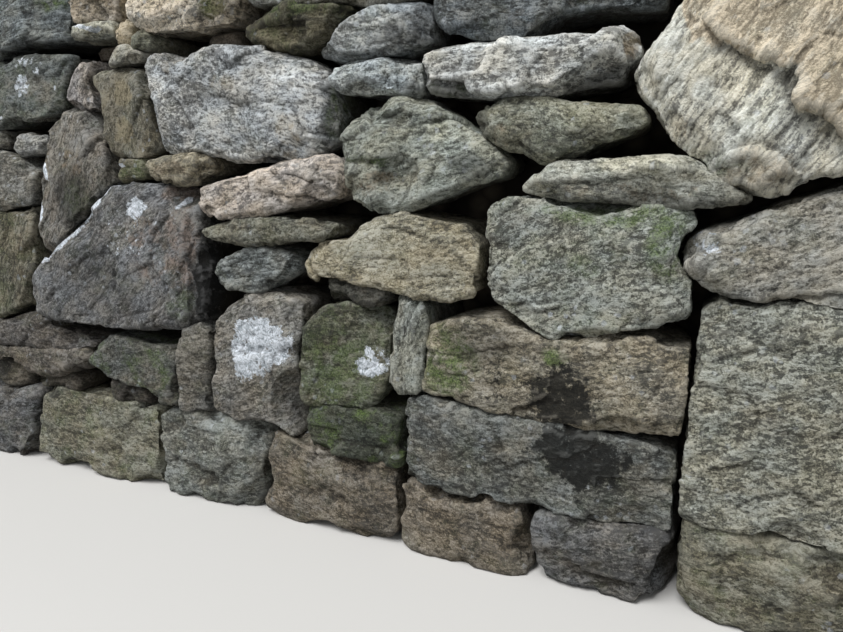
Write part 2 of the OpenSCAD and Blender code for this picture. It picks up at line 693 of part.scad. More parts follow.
module back_course(k, part = 0) {
    gaps = back_gaps(k);
    start = -half_length + (k % 2 == 0 ? 0 : head_depth);
    rotate([0, 0, 180])
        for (i = [0:len(gaps)])
            course(
                run_joints(
                    i == 0 ? start : gaps[i - 1][1],
                    i == len(gaps) ? -start : gaps[i][0],
                    40 * k + i
                ),
                back_bed(k), back_bed(k + 1), 100 * k + 10 * i + 20, part, k == 0);
}

module front_even_courses() {
    color("gray") for (k = [0:2:last_course]) front_course(k);
}

module front_odd_courses() {
    color("darkgray") for (k = [1:2:last_course]) front_course(k);
}

module back_even_courses() {
    color("gray") for (k = [0:2:last_course]) back_course(k);
}

module back_odd_courses() {
    color("darkgray") for (k = [1:2:last_course]) back_course(k);
}

// The upper ones of two stones that share the height of a course
module levelling_stones() {
    color("silver")
        for (k = [0:last_course]) {
            front_course(k, 1);
            back_course(k, 1);
        }
}

module jumper_stones() {
    color("slategray")
        rotate([0, 0, 180])
            for (j = jumpers) {
                low = back_bed(j[0]);
                high = back_bed(j[0] + 2);
                course_stone(cell([j[1], 0], [j[2], 0], low, high, low, high, j[1] + 900), j[2] + 900);
            }
}

function half_width(k) = base_width / 2 - levels[k] / batter;

// Stones across both heads, u across the thickness, between two edges [u, slant]
module head_course(k, half, slant) {
    edges = [[-half, -slant], each head_joints[k], [half, slant]];
    low = level_bed(k);
    high = level_bed(k + 1);
    for (side = [-1, 1], i = [0:len(edges) - 2])
        rotate([0, 0, side * 90])
            course_stone(cell(edges[i], edges[i + 1], low, high, low, high, 50 * k + i + 3),
                50 * k + i, depth = head_depth - head_face[0] - half_length, face = head_face);
}

function lean_over(k) = (half_width(k) - half_width(k + 1)) / 2;

// Long stones that cross the whole head
module head_ties() {
    color("gray")
        for (k = [1:2:last_course])
            head_course(k, half_width(k) - lean_over(k), lean_over(k));
}

// Stones that close the heads between the long face stones
module head_middles() {
    color("darkgray")
        for (k = [0:2:last_course])
            head_course(k, half_width(k) - lean_over(k) - stone_depth - 2 + joint / 2, lean_over(k));
}

// Long stones that tie the two faces together
module through_stones() {
    low = levels[through_course];
    high = levels[through_course + 1];
    color("slategray")
        for (s = through_spans) {
            outline = turned([
                [s[0] + 10, low], [s[1] - 7, low], [s[1], low + 14], [s[1] - 3, high - 10],
                [s[1] - 12, high], [s[0] + 8, high], [s[0], high - 16], [s[0] + 2, low + 8]
            ]);
            m = middle(outline);
            front = [for (p = inset(outline, edge)) [p.x, -base_width / 2 + p.y / batter - 3, p.y]];
            front_edge = [for (p = outline) [p.x, -base_width / 2 + p.y / batter + edge, p.y]];
            back_edge = [for (p = outline) [p.x, base_width / 2 - p.y / batter - edge, p.y]];
            back = [for (p = inset(outline, edge)) [p.x, base_width / 2 - p.y / batter + 3, p.y]];
            loft([front, front_edge, back_edge, back],
                [m.x, -base_width / 2 + m.y / batter - 5, m.y],
                [m.x, base_width / 2 - m.y / batter + 5, m.y]);
        }
}

// Small stones packed between the faces, taken as one mass
module hearting() {
    x = half_length - 150;
    low = base_width / 2 - stone_depth;
    high = low - top_z / batter;
    color("dimgray")
        difference() {
            polyhedron(
                points = [
                    [-x, -low, 0], [x, -low, 0], [x, low, 0], [-x, low, 0],
                    [-x, -high, top_z], [x, -high, top_z], [x, high, top_z], [-x, high, top_z]
                ],
                faces = [
                    [0, 1, 2, 3], [4, 7, 6, 5],
                    [0, 4, 5, 1], [1, 5, 6, 2], [2, 6, 7, 3], [3, 7, 4, 0]
                ]
            );
            for (s = through_spans)
                translate([s[0] - 1, -base_width / 2, levels[through_course] - 1])
                    cube([s[1] - s[0] + 2, base_width, through_height + 2]);
        }
}

// Flat stones across the top, each with its own thickness and broken edges
module cap_stones() {
    color("lightslategray")
        for (i = [0:len(cap_joints) - 2])
            cap_stone(cap_joints[i] + joint / 2, cap_joints[i + 1] - joint / 2, rands(0, 1, 12, 400 + i));
}

module cap_stone(a, b, r) {
    reach = base_width / 2 - top_z / batter + cap_overhang;
    thickness = cap_thickness * (1 - 0.22 * r[8]);
    slope = (r[11] - 0.5) * 0.05;
    outline = turned([
        [a + 6 + 16 * r[0], -reach + 6 * r[1]], [(a + b) / 2, -reach + 5 * r[9]],
        [b - 6 - 16 * r[2], -reach + 6 * r[3]], [b, -reach + 14 + 20 * r[1]],
        [b - 3 * r[4], reach - 14 - 20 * r[0]], [b - 6 - 18 * r[5], reach - 6 * r[4]],
        [(a + b) / 2, reach - 5 * r[10]], [a + 6 + 18 * r[6], reach - 6 * r[5]],
        [a + 3 * r[7], reach - 14 - 20 * r[3]], [a, -reach + 14 + 20 * r[6]]
    ]);
    m = middle(outline);
    function sloped(p, z) = [for (q = p) [q.x, q.y, top_z + z + (q.x - m.x) * slope]];
    function level(p, z) = [for (q = p) [q.x, q.y, top_z + z]];
    loft([
        sloped(inset(outline, 14), thickness - 2), sloped(inset(outline, 4), thickness - 8),
        sloped(outline, thickness - 22), level(outline, 12), level(inset(outline, 7), 0)
    ], [m.x, m.y, top_z + thickness], [m.x, m.y, top_z]);
}

blue_laminated_stone();
pale_tan_stone();
olive_layered_stone();
blue_lumpy_stone();
dark_long_stone();
tan_boulder();
lichen_spotted_stone();
upright_brown_stone();
great_speckled_stone();
small_blue_stone();
long_slab();
folded_stone();
pointed_stone();
flat_pink_stone();
purple_boulder();
upright_pinkish_stone();
diamond_stone();
long_tan_stone();
upright_olive_stone();
striped_stone();
lichen_stone();
dark_flat_stone();
brown_flat_stone();
dark_green_stone();
long_pink_stone();
square_green_stone();
mossy_stone();
brown_long_stone();
bottom_slab();
corner_grey_stone();
speckled_block();
packing_stones();
pinnings();
flakes();
front_even_courses();
front_odd_courses();
back_even_courses();
back_odd_courses();
levelling_stones();
jumper_stones();
head_ties();
head_middles();
through_stones();
hearting();
cap_stones();
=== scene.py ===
"""Looks of the dry stone wall: every stone of the frame becomes weathered gneiss."""
import math

import bmesh
import bpy
import numpy as np
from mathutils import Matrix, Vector


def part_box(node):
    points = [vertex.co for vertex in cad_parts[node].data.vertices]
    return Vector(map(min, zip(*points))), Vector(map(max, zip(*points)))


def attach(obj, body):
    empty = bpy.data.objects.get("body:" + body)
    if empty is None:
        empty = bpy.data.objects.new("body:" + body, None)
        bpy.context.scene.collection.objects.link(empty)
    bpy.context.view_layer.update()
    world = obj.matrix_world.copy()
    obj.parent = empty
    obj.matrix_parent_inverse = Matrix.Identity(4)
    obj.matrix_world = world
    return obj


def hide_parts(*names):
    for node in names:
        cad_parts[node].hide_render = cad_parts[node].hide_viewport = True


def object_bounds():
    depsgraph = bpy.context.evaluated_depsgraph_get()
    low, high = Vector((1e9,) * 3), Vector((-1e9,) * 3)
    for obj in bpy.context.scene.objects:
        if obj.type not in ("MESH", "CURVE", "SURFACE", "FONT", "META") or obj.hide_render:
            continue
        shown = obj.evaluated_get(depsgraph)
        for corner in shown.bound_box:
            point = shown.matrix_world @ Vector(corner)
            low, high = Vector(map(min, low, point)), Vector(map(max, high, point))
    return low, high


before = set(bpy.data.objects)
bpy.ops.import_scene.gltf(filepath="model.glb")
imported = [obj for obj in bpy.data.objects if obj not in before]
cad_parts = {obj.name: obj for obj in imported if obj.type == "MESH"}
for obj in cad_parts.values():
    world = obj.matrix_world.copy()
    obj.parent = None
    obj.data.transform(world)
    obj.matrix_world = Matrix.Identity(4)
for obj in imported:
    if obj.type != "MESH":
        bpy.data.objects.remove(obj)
cad_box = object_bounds()

MM = 0.001
LOW, HIGH = (np.array(corner) for corner in cad_box)
HALF_LENGTH = HIGH[0]
CORE_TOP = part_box("hearting")[1][2]
BATTER = 1 / 12
FACE_AT_FLOOR = 250 * MM
# A stone nearer to an end than this shows there too
END_REACH = 20 * MM

# Mesh spacing of the photo's stones, the other stones of the front, and the rest
FINE = 2.7 * MM
MIDDLE = 5.0 * MM
COARSE = 8.0 * MM
# Depth behind the face that keeps the full mesh, depth of a whole stone, and how far the hidden tail
# is drawn together, in depth and in width, while it is meshed
FULL_DEPTH = 18 * MM
STONE_DEPTH = 135 * MM
THINNING = 8.0
TAIL_WIDTH = 0.18
# Depth at which the joints are darkest with soil and painted shade
SOIL_AND_SHADE_DEPTH = 60 * MM

PHOTO_GROUPS = ("packing_stones", "pinnings", "flakes")
COURSE_NODES = ("front_even_courses", "front_odd_courses", "back_even_courses", "back_odd_courses",
                "levelling_stones", "jumper_stones", "head_middles")
END_NODES = ("head_ties", "through_stones", "cap_stones")


def linear(code):
    """Linear colour of a hex code."""
    parts = [int(code[i:i + 2], 16) / 255 for i in (1, 3, 5)]
    return np.array([c / 12.92 if c <= 0.04045 else ((c + 0.055) / 1.055) ** 2.4 for c in parts])


# Noise

def cell_value(cells, seed):
    """Repeatable value from 0 to 1 for each lattice cell."""
    h = cells[:, 0] * 374761393 + cells[:, 1] * 668265263 + cells[:, 2] * 1442695041 + seed * 974634777
    h &= 0xFFFFFFFF
    h = ((h ^ (h >> 13)) * 1274126177) & 0xFFFFFFFF
    return ((h ^ (h >> 16)) & 0xFFFF) / 65535.0


def pick(low, high, *seeds):
    """Repeatable single value between two bounds."""
    seeds = (list(seeds) + [0, 0, 0])[:3]
    return low + (high - low) * float(cell_value(np.array([seeds], np.int64), 5)[0])


def noise(points, size, seed):
    """Smooth noise from -1 to 1 with features of about the given size."""
    q = points / size
    cell = np.floor(q).astype(np.int64)
    f = q - cell
    w = f * f * f * (f * (f * 6 - 15) + 10)
    total = np.zeros(len(points))
    for corner in np.ndindex(2, 2, 2):
        weight = np.ones(len(points))
        for axis in range(3):
            weight *= w[:, axis] if corner[axis] else 1 - w[:, axis]
        total += weight * cell_value(cell + np.array(corner), seed)
    return total * 2 - 1


TURN = np.array([[0.36, 0.48, -0.8], [-0.8, 0.6, 0.0], [0.48, 0.64, 0.6]])


def fractal(points, size, octaves, seed, gain=0.5):
    """Noise summed over octaves, each turned against the last."""
    total = np.zeros(len(points))
    reach = 0.0
    strength = 1.0
    for octave in range(octaves):
        total += strength * noise(points, size, seed + octave)
        reach += strength
        strength *= gain
        size *= 0.5
        points = points @ TURN + 0.37
    return total / reach


def hackle(points, size, seed):
    """Relief of flat chips: each cell of the stone has its own slope and step."""
    q = points / size
    cell = np.floor(q).astype(np.int64)
    nearest = np.full(len(q), 9.0)
    owner = cell.copy()
    away = np.zeros_like(q)
    for offset in np.ndindex(3, 3, 3):
        c = cell + np.array(offset) - 1
        centre = np.stack([cell_value(c, seed + a) for a in range(3)], axis=1)
        to_centre = q - c - centre
        square = (to_centre ** 2).sum(axis=1)
        mine = square < nearest
        nearest[mine] = square[mine]
        owner[mine] = c[mine]
        away[mine] = to_centre[mine]
    slope = np.stack([cell_value(owner, seed + 7 + a) for a in range(3)], axis=1) * 2 - 1
    return (away * slope).sum(axis=1) + 0.5 * slope[:, 0]


def smooth_step(low, high, x):
    t = np.clip((x - low) / (high - low), 0, 1)
    return t * t * (3 - 2 * t)


# Meshes of single stones

def stones_of(node):
    """Each closed solid of a CAD node as (corner points, triangles)."""
    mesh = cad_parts[node].data
    mesh.calc_loop_triangles()
    points = np.zeros(len(mesh.vertices) * 3)
    mesh.vertices.foreach_get("co", points)
    points = points.reshape(-1, 3)
    triangles = np.zeros(len(mesh.loop_triangles) * 3, np.int32)
    mesh.loop_triangles.foreach_get("vertices", triangles)
    welded, index = np.unique(np.round(points, 5), axis=0, return_inverse=True)
    triangles = index.reshape(-1)[triangles].reshape(-1, 3)
    group = np.arange(len(welded))
    while True:
        lowest = group[triangles].min(axis=1)
        before = group.copy()
        for corner in range(3):
            np.minimum.at(group, triangles[:, corner], lowest)
        if (group == before).all():
            break
    solids = []
    for label in np.unique(group):
        mine = triangles[group[triangles[:, 0]] == label]
        used, renumbered = np.unique(mine, return_inverse=True)
        solids.append((welded[used], renumbered.reshape(-1, 3)))
    solids.sort(key=lambda s: tuple(np.round(s[0].mean(axis=0), 3)))
    return solids


def mesh_from(points, faces, name="stone"):
    mesh = bpy.data.meshes.new(name)
    mesh.from_pydata([tuple(p) for p in points], [], [tuple(int(i) for i in f) for f in faces])
    return mesh


def add_object(name, data):
    obj = bpy.data.objects.new(name, data)
    bpy.context.scene.collection.objects.link(obj)
    return obj


# Plane of each face of the wall: a point on it at the floor, and the way into the wall
SIDES = {
    "front": (np.array([0, -FACE_AT_FLOOR, 0]), np.array([0, 1, -BATTER])),
    "back": (np.array([0, FACE_AT_FLOOR, 0]), np.array([0, -1, -BATTER])),
    "left": (np.array([-HALF_LENGTH, 0, 0]), np.array([1, 0, 0])),
    "right": (np.array([HALF_LENGTH, 0, 0]), np.array([-1, 0, 0])),
}


def side_of(points, node):
    """The one face of the wall that a stone shows in, or None where it shows in several."""
    low, high = points.min(axis=0), points.max(axis=0)
    if node in END_NODES:
        return None
    if node == "head_middles":
        return "left" if high[0] < 0 else "right"
    if max(-low[0], high[0]) > HALF_LENGTH - END_REACH:
        return None
    return "front" if low[1] + high[1] < 0 else "back"


def depth_of(points, side):
    """Distance behind one face of the wall."""
    start, inward = SIDES[side]
    return (points - start) @ inward


def thinned(points, side, middle, back=False):
    """Draws a stone's hidden tail together, or out again, so that it takes few faces."""
    depth = depth_of(points, side)
    if back:
        depth = np.where(depth > FULL_DEPTH, FULL_DEPTH + (depth - FULL_DEPTH) * THINNING, depth)
    share = np.clip((depth - FULL_DEPTH) / (STONE_DEPTH - FULL_DEPTH), 0, 1.1)
    width = 1 - share * (1 - TAIL_WIDTH)
    if not back:
        depth = np.where(depth > FULL_DEPTH, FULL_DEPTH + (depth - FULL_DEPTH) / THINNING, depth)
    start, inward = SIDES[side]
    across, into = (1, 0) if inward[0] else (0, 1)
    out = points.copy()
    for axis in (across, 2):
        offset = points[:, axis] - middle[axis]
        out[:, axis] = middle[axis] + (offset / width if back else offset * width)
    out[:, into] = start[into] + (depth - out[:, 2] * inward[2]) / inward[into]
    return out


def cut_at_depth(points, triangles, side):
    """A stone with an extra ring of corners where its hidden tail begins."""
    bm = bmesh.new()
    verts = [bm.verts.new(p) for p in points]
    for t in triangles:
        bm.faces.new([verts[i] for i in t])
    start, inward = SIDES[side]
    flat = np.array([inward[0], inward[1], 0])
    bmesh.ops.bisect_plane(bm, geom=bm.verts[:] + bm.edges[:] + bm.faces[:], dist=1e-6,
                           plane_co=Vector(start + flat * FULL_DEPTH), plane_no=Vector(inward))
    bmesh.ops.triangulate(bm, faces=bm.faces[:])
    bm.verts.index_update()
    out = np.array([v.co for v in bm.verts])
    faces = np.array([[v.index for v in f.verts] for f in bm.faces])
    bm.free()
    return out, faces


def remeshed(points, triangles, spacing):
    """The closed solid as an even mesh of quads: (points, quads)."""
    mesh = mesh_from(points, triangles)
    obj = add_object("remesh", mesh)
    modifier = obj.modifiers.new("voxels", "REMESH")
    modifier.mode = "VOXEL"
    modifier.voxel_size = spacing
    modifier.adaptivity = 0
    bpy.context.view_layer.update()
    evaluated = obj.evaluated_get(bpy.context.evaluated_depsgraph_get())
    done = evaluated.to_mesh()
    out = np.zeros(len(done.vertices) * 3)
    done.vertices.foreach_get("co", out)
    quads = np.zeros(len(done.loops), np.int32)
    done.loops.foreach_get("vertex_index", quads)
    evaluated.to_mesh_clear()
    bpy.data.objects.remove(obj)
    bpy.data.meshes.remove(mesh)
    return out.reshape(-1, 3), quads.reshape(-1, 4)


def edges_of(quads):
    pairs = np.concatenate([quads[:, [0, 1]], quads[:, [1, 2]], quads[:, [2, 3]], quads[:, [3, 0]]])
    return np.unique(np.sort(pairs, axis=1), axis=0)


def relaxed(values, edges, rounds, share=0.5):
    """Columns of values drawn towards the mean of their neighbours."""
    count = np.bincount(edges.ravel(), minlength=len(values)).astype(float)[:, None]
    for _ in range(rounds):
        total = np.zeros_like(values)
        for a in range(values.shape[1]):
            total[:, a] = np.bincount(edges[:, 0], values[edges[:, 1], a], len(values))
            total[:, a] += np.bincount(edges[:, 1], values[edges[:, 0], a], len(values))
        values = values + share * (total / count - values)
    return values


def normals_of(points, quads):
    a, b, c, d = (points[quads[:, i]] for i in range(4))
    face = np.cross(c - a, d - b)
    out = np.zeros_like(points)
    for axis in range(3):
        for corner in range(4):
            out[:, axis] += np.bincount(quads[:, corner], face[:, axis], len(points))
    return out / np.maximum(np.linalg.norm(out, axis=1, keepdims=True), 1e-12)


# How far the layers dip into the wall
DIP = math.radians(9)


def grain_axes(degrees, side):
    """Rows are the grain's own axes: along, across and through the layers."""
    t = math.radians(degrees)
    along = np.array([math.cos(t), 0.0, math.sin(t)])
    through = np.array([-math.sin(t) * math.cos(DIP), math.sin(DIP), math.cos(t) * math.cos(DIP)])
    axes = np.array([along, np.cross(through, along), through])
    return axes[:, [1, 0, 2]] if side in ("left", "right") else axes


def across_of(side):
    """Level direction along one face of the wall."""
    return np.array([0.0, 1, 0]) if side in ("left", "right") else np.array([1.0, 0, 0])


# Flat facets on the rim and face of a stone, and all round one that shows on several sides. Slopes
# are against the face, and depths are in mm on a stone of the full size
RIM_FACETS = 9
RIM_TURN = 0.4
RIM_SLOPES = (0.3, 1.3)
RIM_DEPTHS = (1, 6)
FACE_FACETS = 4
FACE_SLOPES = (0.03, 0.14)
FACE_DEPTHS = (1, 4)
LOOSE_FACETS = 22
LOOSE_DEPTHS = (2, 8)
FULL_SIZE = 100 * MM
DEPTH_SHARES = (0.35, 1.25)


def facets_of(size, side, seed):
    """Ways and depths of a stone's flat facets, and the measure that scales them."""
    facets = []
    if not side:
        for i in range(LOOSE_FACETS):
            way = np.array([pick(-1, 1, seed, i, draw) for draw in (7, 8, 9)])
            facets.append((way * (1 / size) ** 0.5, pick(*LOOSE_DEPTHS, seed, i, 10)))
        return facets, size.min()
    outward = -SIDES[side][1] / np.linalg.norm(SIDES[side][1])
    across = across_of(side)
    up = np.cross(outward, across)

    def leaning(turn, slope):
        return outward + slope * (math.cos(turn) * across + math.sin(turn) * up)

    for i in range(RIM_FACETS):
        turn = (i + pick(-RIM_TURN, RIM_TURN, seed, i, 1)) * 2 * math.pi / RIM_FACETS
        facets.append((leaning(turn, pick(*RIM_SLOPES, seed, i, 2)), pick(*RIM_DEPTHS, seed, i, 3)))
    for i in range(FACE_FACETS):
        turn = pick(0, 2 * math.pi, seed, i, 4)
        facets.append((leaning(turn, pick(*FACE_SLOPES, seed, i, 5)), pick(*FACE_DEPTHS, seed, i, 6)))
    return facets, min(size[2], size @ np.abs(across))


def chipped(points, side, seed, amount):
    """Breaks the rim and face of a stone into flat facets."""
    facets, small = facets_of(points.max(axis=0) - points.min(axis=0), side, seed)
    scale = amount * MM * np.clip(small / FULL_SIZE, *DEPTH_SHARES)
    for way, depth in facets:
        way = way / np.linalg.norm(way)
        reach = points @ way
        over = np.maximum(reach - (reach.max() - depth * scale), 0)
        points = points - way * over[:, None]
    return points


# Shell-shaped chips: the reach within which a rim counts as sharp, the share of the face that doesn't,
# the length of rim to each chip, the least radius and what may be added to it in mm, and the depths
RIM_REACH = 8 * MM
BLUNT_SHARE = 0.86
RIM_PER_CHIP = 26 * MM
SHELL_RADIUS = 9
SHELL_SPREAD = 60
SHELL_DEPTHS = (0.12, 0.26)
SHELL_SIZE = 14 * MM


def spalled(points, quads, edges, side, spacing, seed, amount):
    """Takes shell-shaped chips off the sharpest places that show."""
    rounds = int(2 * (RIM_REACH / spacing) ** 2)
    normals = normals_of(points, quads)
    sharpness = ((points - relaxed(points, edges, rounds)) * normals).sum(axis=1)
    shown = depth_of(points, side) < FULL_DEPTH if side else np.ones(len(points), bool)
    if not shown.any():
        return points
    rims = np.flatnonzero(shown & (sharpness >= np.quantile(sharpness[shown], BLUNT_SHARE)))
    size = points.max(axis=0) - points.min(axis=0)
    around = size[2] + (size @ across_of(side) if side else size[0] + size[1])
    for i in range(int(around / RIM_PER_CHIP)):
        at = rims[int(pick(0, len(rims) - 0.01, seed, i, 31))]
        radius = (SHELL_RADIUS + SHELL_SPREAD * pick(0, 1, seed, i, 32) ** 2) * MM
        depth = amount * pick(*SHELL_DEPTHS, seed, i, 33) * radius ** 0.5 * SHELL_SIZE ** 0.5
        offset = points - points[at] - normals[at] * (radius - depth)
        along = offset @ normals[at]
        square = (offset ** 2).sum(axis=1)
        bottom = -np.sqrt(np.maximum(radius ** 2 - square + along ** 2, 0))
        points = points + np.where(square < radius ** 2, bottom - along, 0)[:, None] * normals[at]
    return points


# Marks on single stones

# How far the edge of a mark wanders, and over what length
WANDER = 7 * MM
WANDER_SIZE = 22 * MM
# Where an oval mark begins and where it is full, as shares of its half width and height
OVAL_EDGE = (1.25, 0.55)
# Half width in mm of the soft edge of an outline, and of the kinds that have another
PLAIN_BLUR = 4
OWN_BLUR = {"black": 24, "lichen": 9, "raised": 1.5}
# The first three kinds go into the colour attribute that the material reads
# Shade marks paint shade and shadow into a stone's tone, and light marks paint highlights on its lit facets
# and rims
MARK_KINDS = ("lichen", "moss", "black", "warm", "shade", "light", "worn", "raised")


def mark(marks, kind):
    """Strength of one kind of mark at every point."""
    return marks[:, MARK_KINDS.index(kind)]


def outline_mask(x, z, outline, blur):
    """1 inside an outline on the face, 0 outside it, with a soft edge."""
    inside = np.zeros(len(x), bool)
    nearest = np.full(len(x), 1.0)
    count = len(outline)
    for i in range(count):
        ax, az = (v * MM for v in outline[i])
        bx, bz = (v * MM for v in outline[(i + 1) % count])
        crosses = (az > z) != (bz > z)
        at = ax + (z - az) * (bx - ax) / (bz - az if bz != az else 1)
        inside ^= crosses & (x < at)
        length = (bx - ax) ** 2 + (bz - az) ** 2
        t = np.clip(((x - ax) * (bx - ax) + (z - az) * (bz - az)) / length, 0, 1)
        nearest = np.minimum(nearest, np.hypot(x - ax - t * (bx - ax), z - az - t * (bz - az)))
    signed = np.where(inside, nearest, -nearest)
    return smooth_step(-blur * MM, blur * MM, signed)


def marks_on(points, node):
    """Strength of each kind of mark at every point."""
    values = np.zeros((len(points), len(MARK_KINDS)))
    x = points[:, 0] + WANDER * fractal(points, WANDER_SIZE, 3, 77)
    z = points[:, 2] + WANDER * fractal(points, WANDER_SIZE, 3, 99)
    for kind, shape, *strength in MARKS.get(node, ()):
        if isinstance(shape[0], tuple):
            value = outline_mask(x, z, shape, OWN_BLUR.get(kind, PLAIN_BLUR))
        else:
            cx, cz, rx, rz = (v * MM for v in shape)
            value = smooth_step(*OVAL_EDGE, np.hypot((x - cx) / rx, (z - cz) / rz))
        column = MARK_KINDS.index(kind)
        values[:, column] = np.maximum(values[:, column], value * sum(strength or [1]))
    return values


# Relief of a stone

# Feature sizes of each kind of relief, and the grains that draw some of them flat
FOLD_SIZE = 60 * MM
LEDGE_SIZE = 38 * MM
CRACK_SIZE = 50 * MM
LUMP_SIZE = 75 * MM
FACET_SIZE = 75 * MM
CHIP_SIZES = (30 * MM, 13 * MM)
ROUGH_SIZE = 12 * MM
CRUST_SIZE = 7 * MM
FLAT_GRAIN = np.array([1, 1, 1.7])
ROUGH_GRAIN = np.array([0.6, 1, 2.0])
# Layers: how far folds lift them, where a layer's edge begins, the step in the noise between two, and
# the place and width of a crack, as shares of a layer
FOLD_LIFT = 2.2
LAYER_EDGE = 0.8
LAYER_STEP = 0.317
CRACK_AT = 0.86
CRACK_WIDTH = 0.09
# Height of a raised mark in mm, and rounds of smoothing where a stone is worn
RAISED = 3.5
WEAR_ROUNDS = 70
# Rounds of smoothing and heights that tell fine and broad hollows from edges
FINE_ROUNDS = 4
FINE_HEIGHT = 0.8 * MM
BROAD_ROUNDS = 14
BROAD_HEIGHT = 2.4 * MM


def ledges(grain, look):
    """Relief of bedding layers that end in small steps, less the cracks between some of them."""
    warp = fractal(grain, FOLD_SIZE, 3, 11)
    s = grain[:, 2] / (look["layer"] * MM) + look["fold"] * warp * FOLD_LIFT
    k = np.floor(s)
    f = s - k
    blend = smooth_step(LAYER_EDGE, 1.0, f)
    plate = grain.copy()
    plate[:, 2] = k * LAYER_STEP
    above = plate.copy()
    above[:, 2] = (k + 1) * LAYER_STEP
    relief = noise(plate, LEDGE_SIZE, 3) * (1 - blend) + noise(above, LEDGE_SIZE, 3) * blend
    opening = smooth_step(0.1, 0.5, noise(plate, CRACK_SIZE, 8))
    return relief - np.exp(-((f - CRACK_AT) / CRACK_WIDTH) ** 2) * opening


def relief_of(points, grain, look, marks):
    """How far each point of a stone's surface is pushed out."""
    flat = grain * FLAT_GRAIN
    facets = hackle(flat, FACET_SIZE, 31)
    chips = hackle(flat, CHIP_SIZES[0], 41) + 0.5 * hackle(flat, CHIP_SIZES[1], 61)
    rough = fractal(grain * ROUGH_GRAIN, ROUGH_SIZE, 3, 21, 0.65)
    crust = mark(marks, "lichen") * (0.7 + fractal(points, CRUST_SIZE, 2, 71)) * look["crust"]
    crust += RAISED * mark(marks, "raised")
    return (
        look["lumps"] * fractal(grain, LUMP_SIZE, 2, 5) + look["facets"] * facets
        + look["ledge"] * ledges(grain, look)
        + look["hackle"] * chips + look["rough"] * rough + crust + look["growth"]
    ) * MM


def sculpt(points, quads, look, side, node, spacing, seed):
    """Weathers a stone's mesh and returns its points with what the material needs."""
    edges = edges_of(quads)
    points = relaxed(points, edges, 1, 0.25)
    points = chipped(points, side, seed, look["chips"])
    points = spalled(points, quads, edges, side, spacing, seed, look["chips"])
    marks = marks_on(points, node)
    worn = mark(marks, "worn")[:, None]
    if worn.any():
        points = points + worn * (relaxed(points, edges, WEAR_ROUNDS) - points)
    normals = normals_of(points, quads)
    own_place = np.array([pick(0, 6, seed, draw) for draw in (21, 22, 23)])
    grain = (points - points.mean(axis=0)) @ grain_axes(look["angle"], side).T + own_place
    push = relief_of(points, grain, look, marks)
    moved = np.clip(points + normals * push[:, None], LOW, HIGH)
    near = relaxed(moved, edges, FINE_ROUNDS)
    far = relaxed(near, edges, BROAD_ROUNDS)
    height = ((moved - near) * normals).sum(axis=1) / FINE_HEIGHT
    height += ((moved - far) * normals).sum(axis=1) / BROAD_HEIGHT
    return moved, grain, np.clip(0.5 + 0.35 * height, 0, 1), marks


# Looks

# Base and stain colours, angle of the layers in degrees, their thickness in mm, heights of each relief
# in mm, and strengths of what the material shows
BASE_LOOK = dict(
    mid="#77746c", warm="#7d7059", angle=6, layer=14, fold=0.6, lumps=1.3, facets=3.4, ledge=1.2,
    hackle=1.2, rough=0.8, chips=1.4, crust=0.3, growth=0.9, band=1.0, stretch=1.0, speckle=1.0,
    stain=0.3, lichen=0.3, algae=0.1)


def look(mid, **changes):
    return dict(BASE_LOOK, mid=mid, **changes)


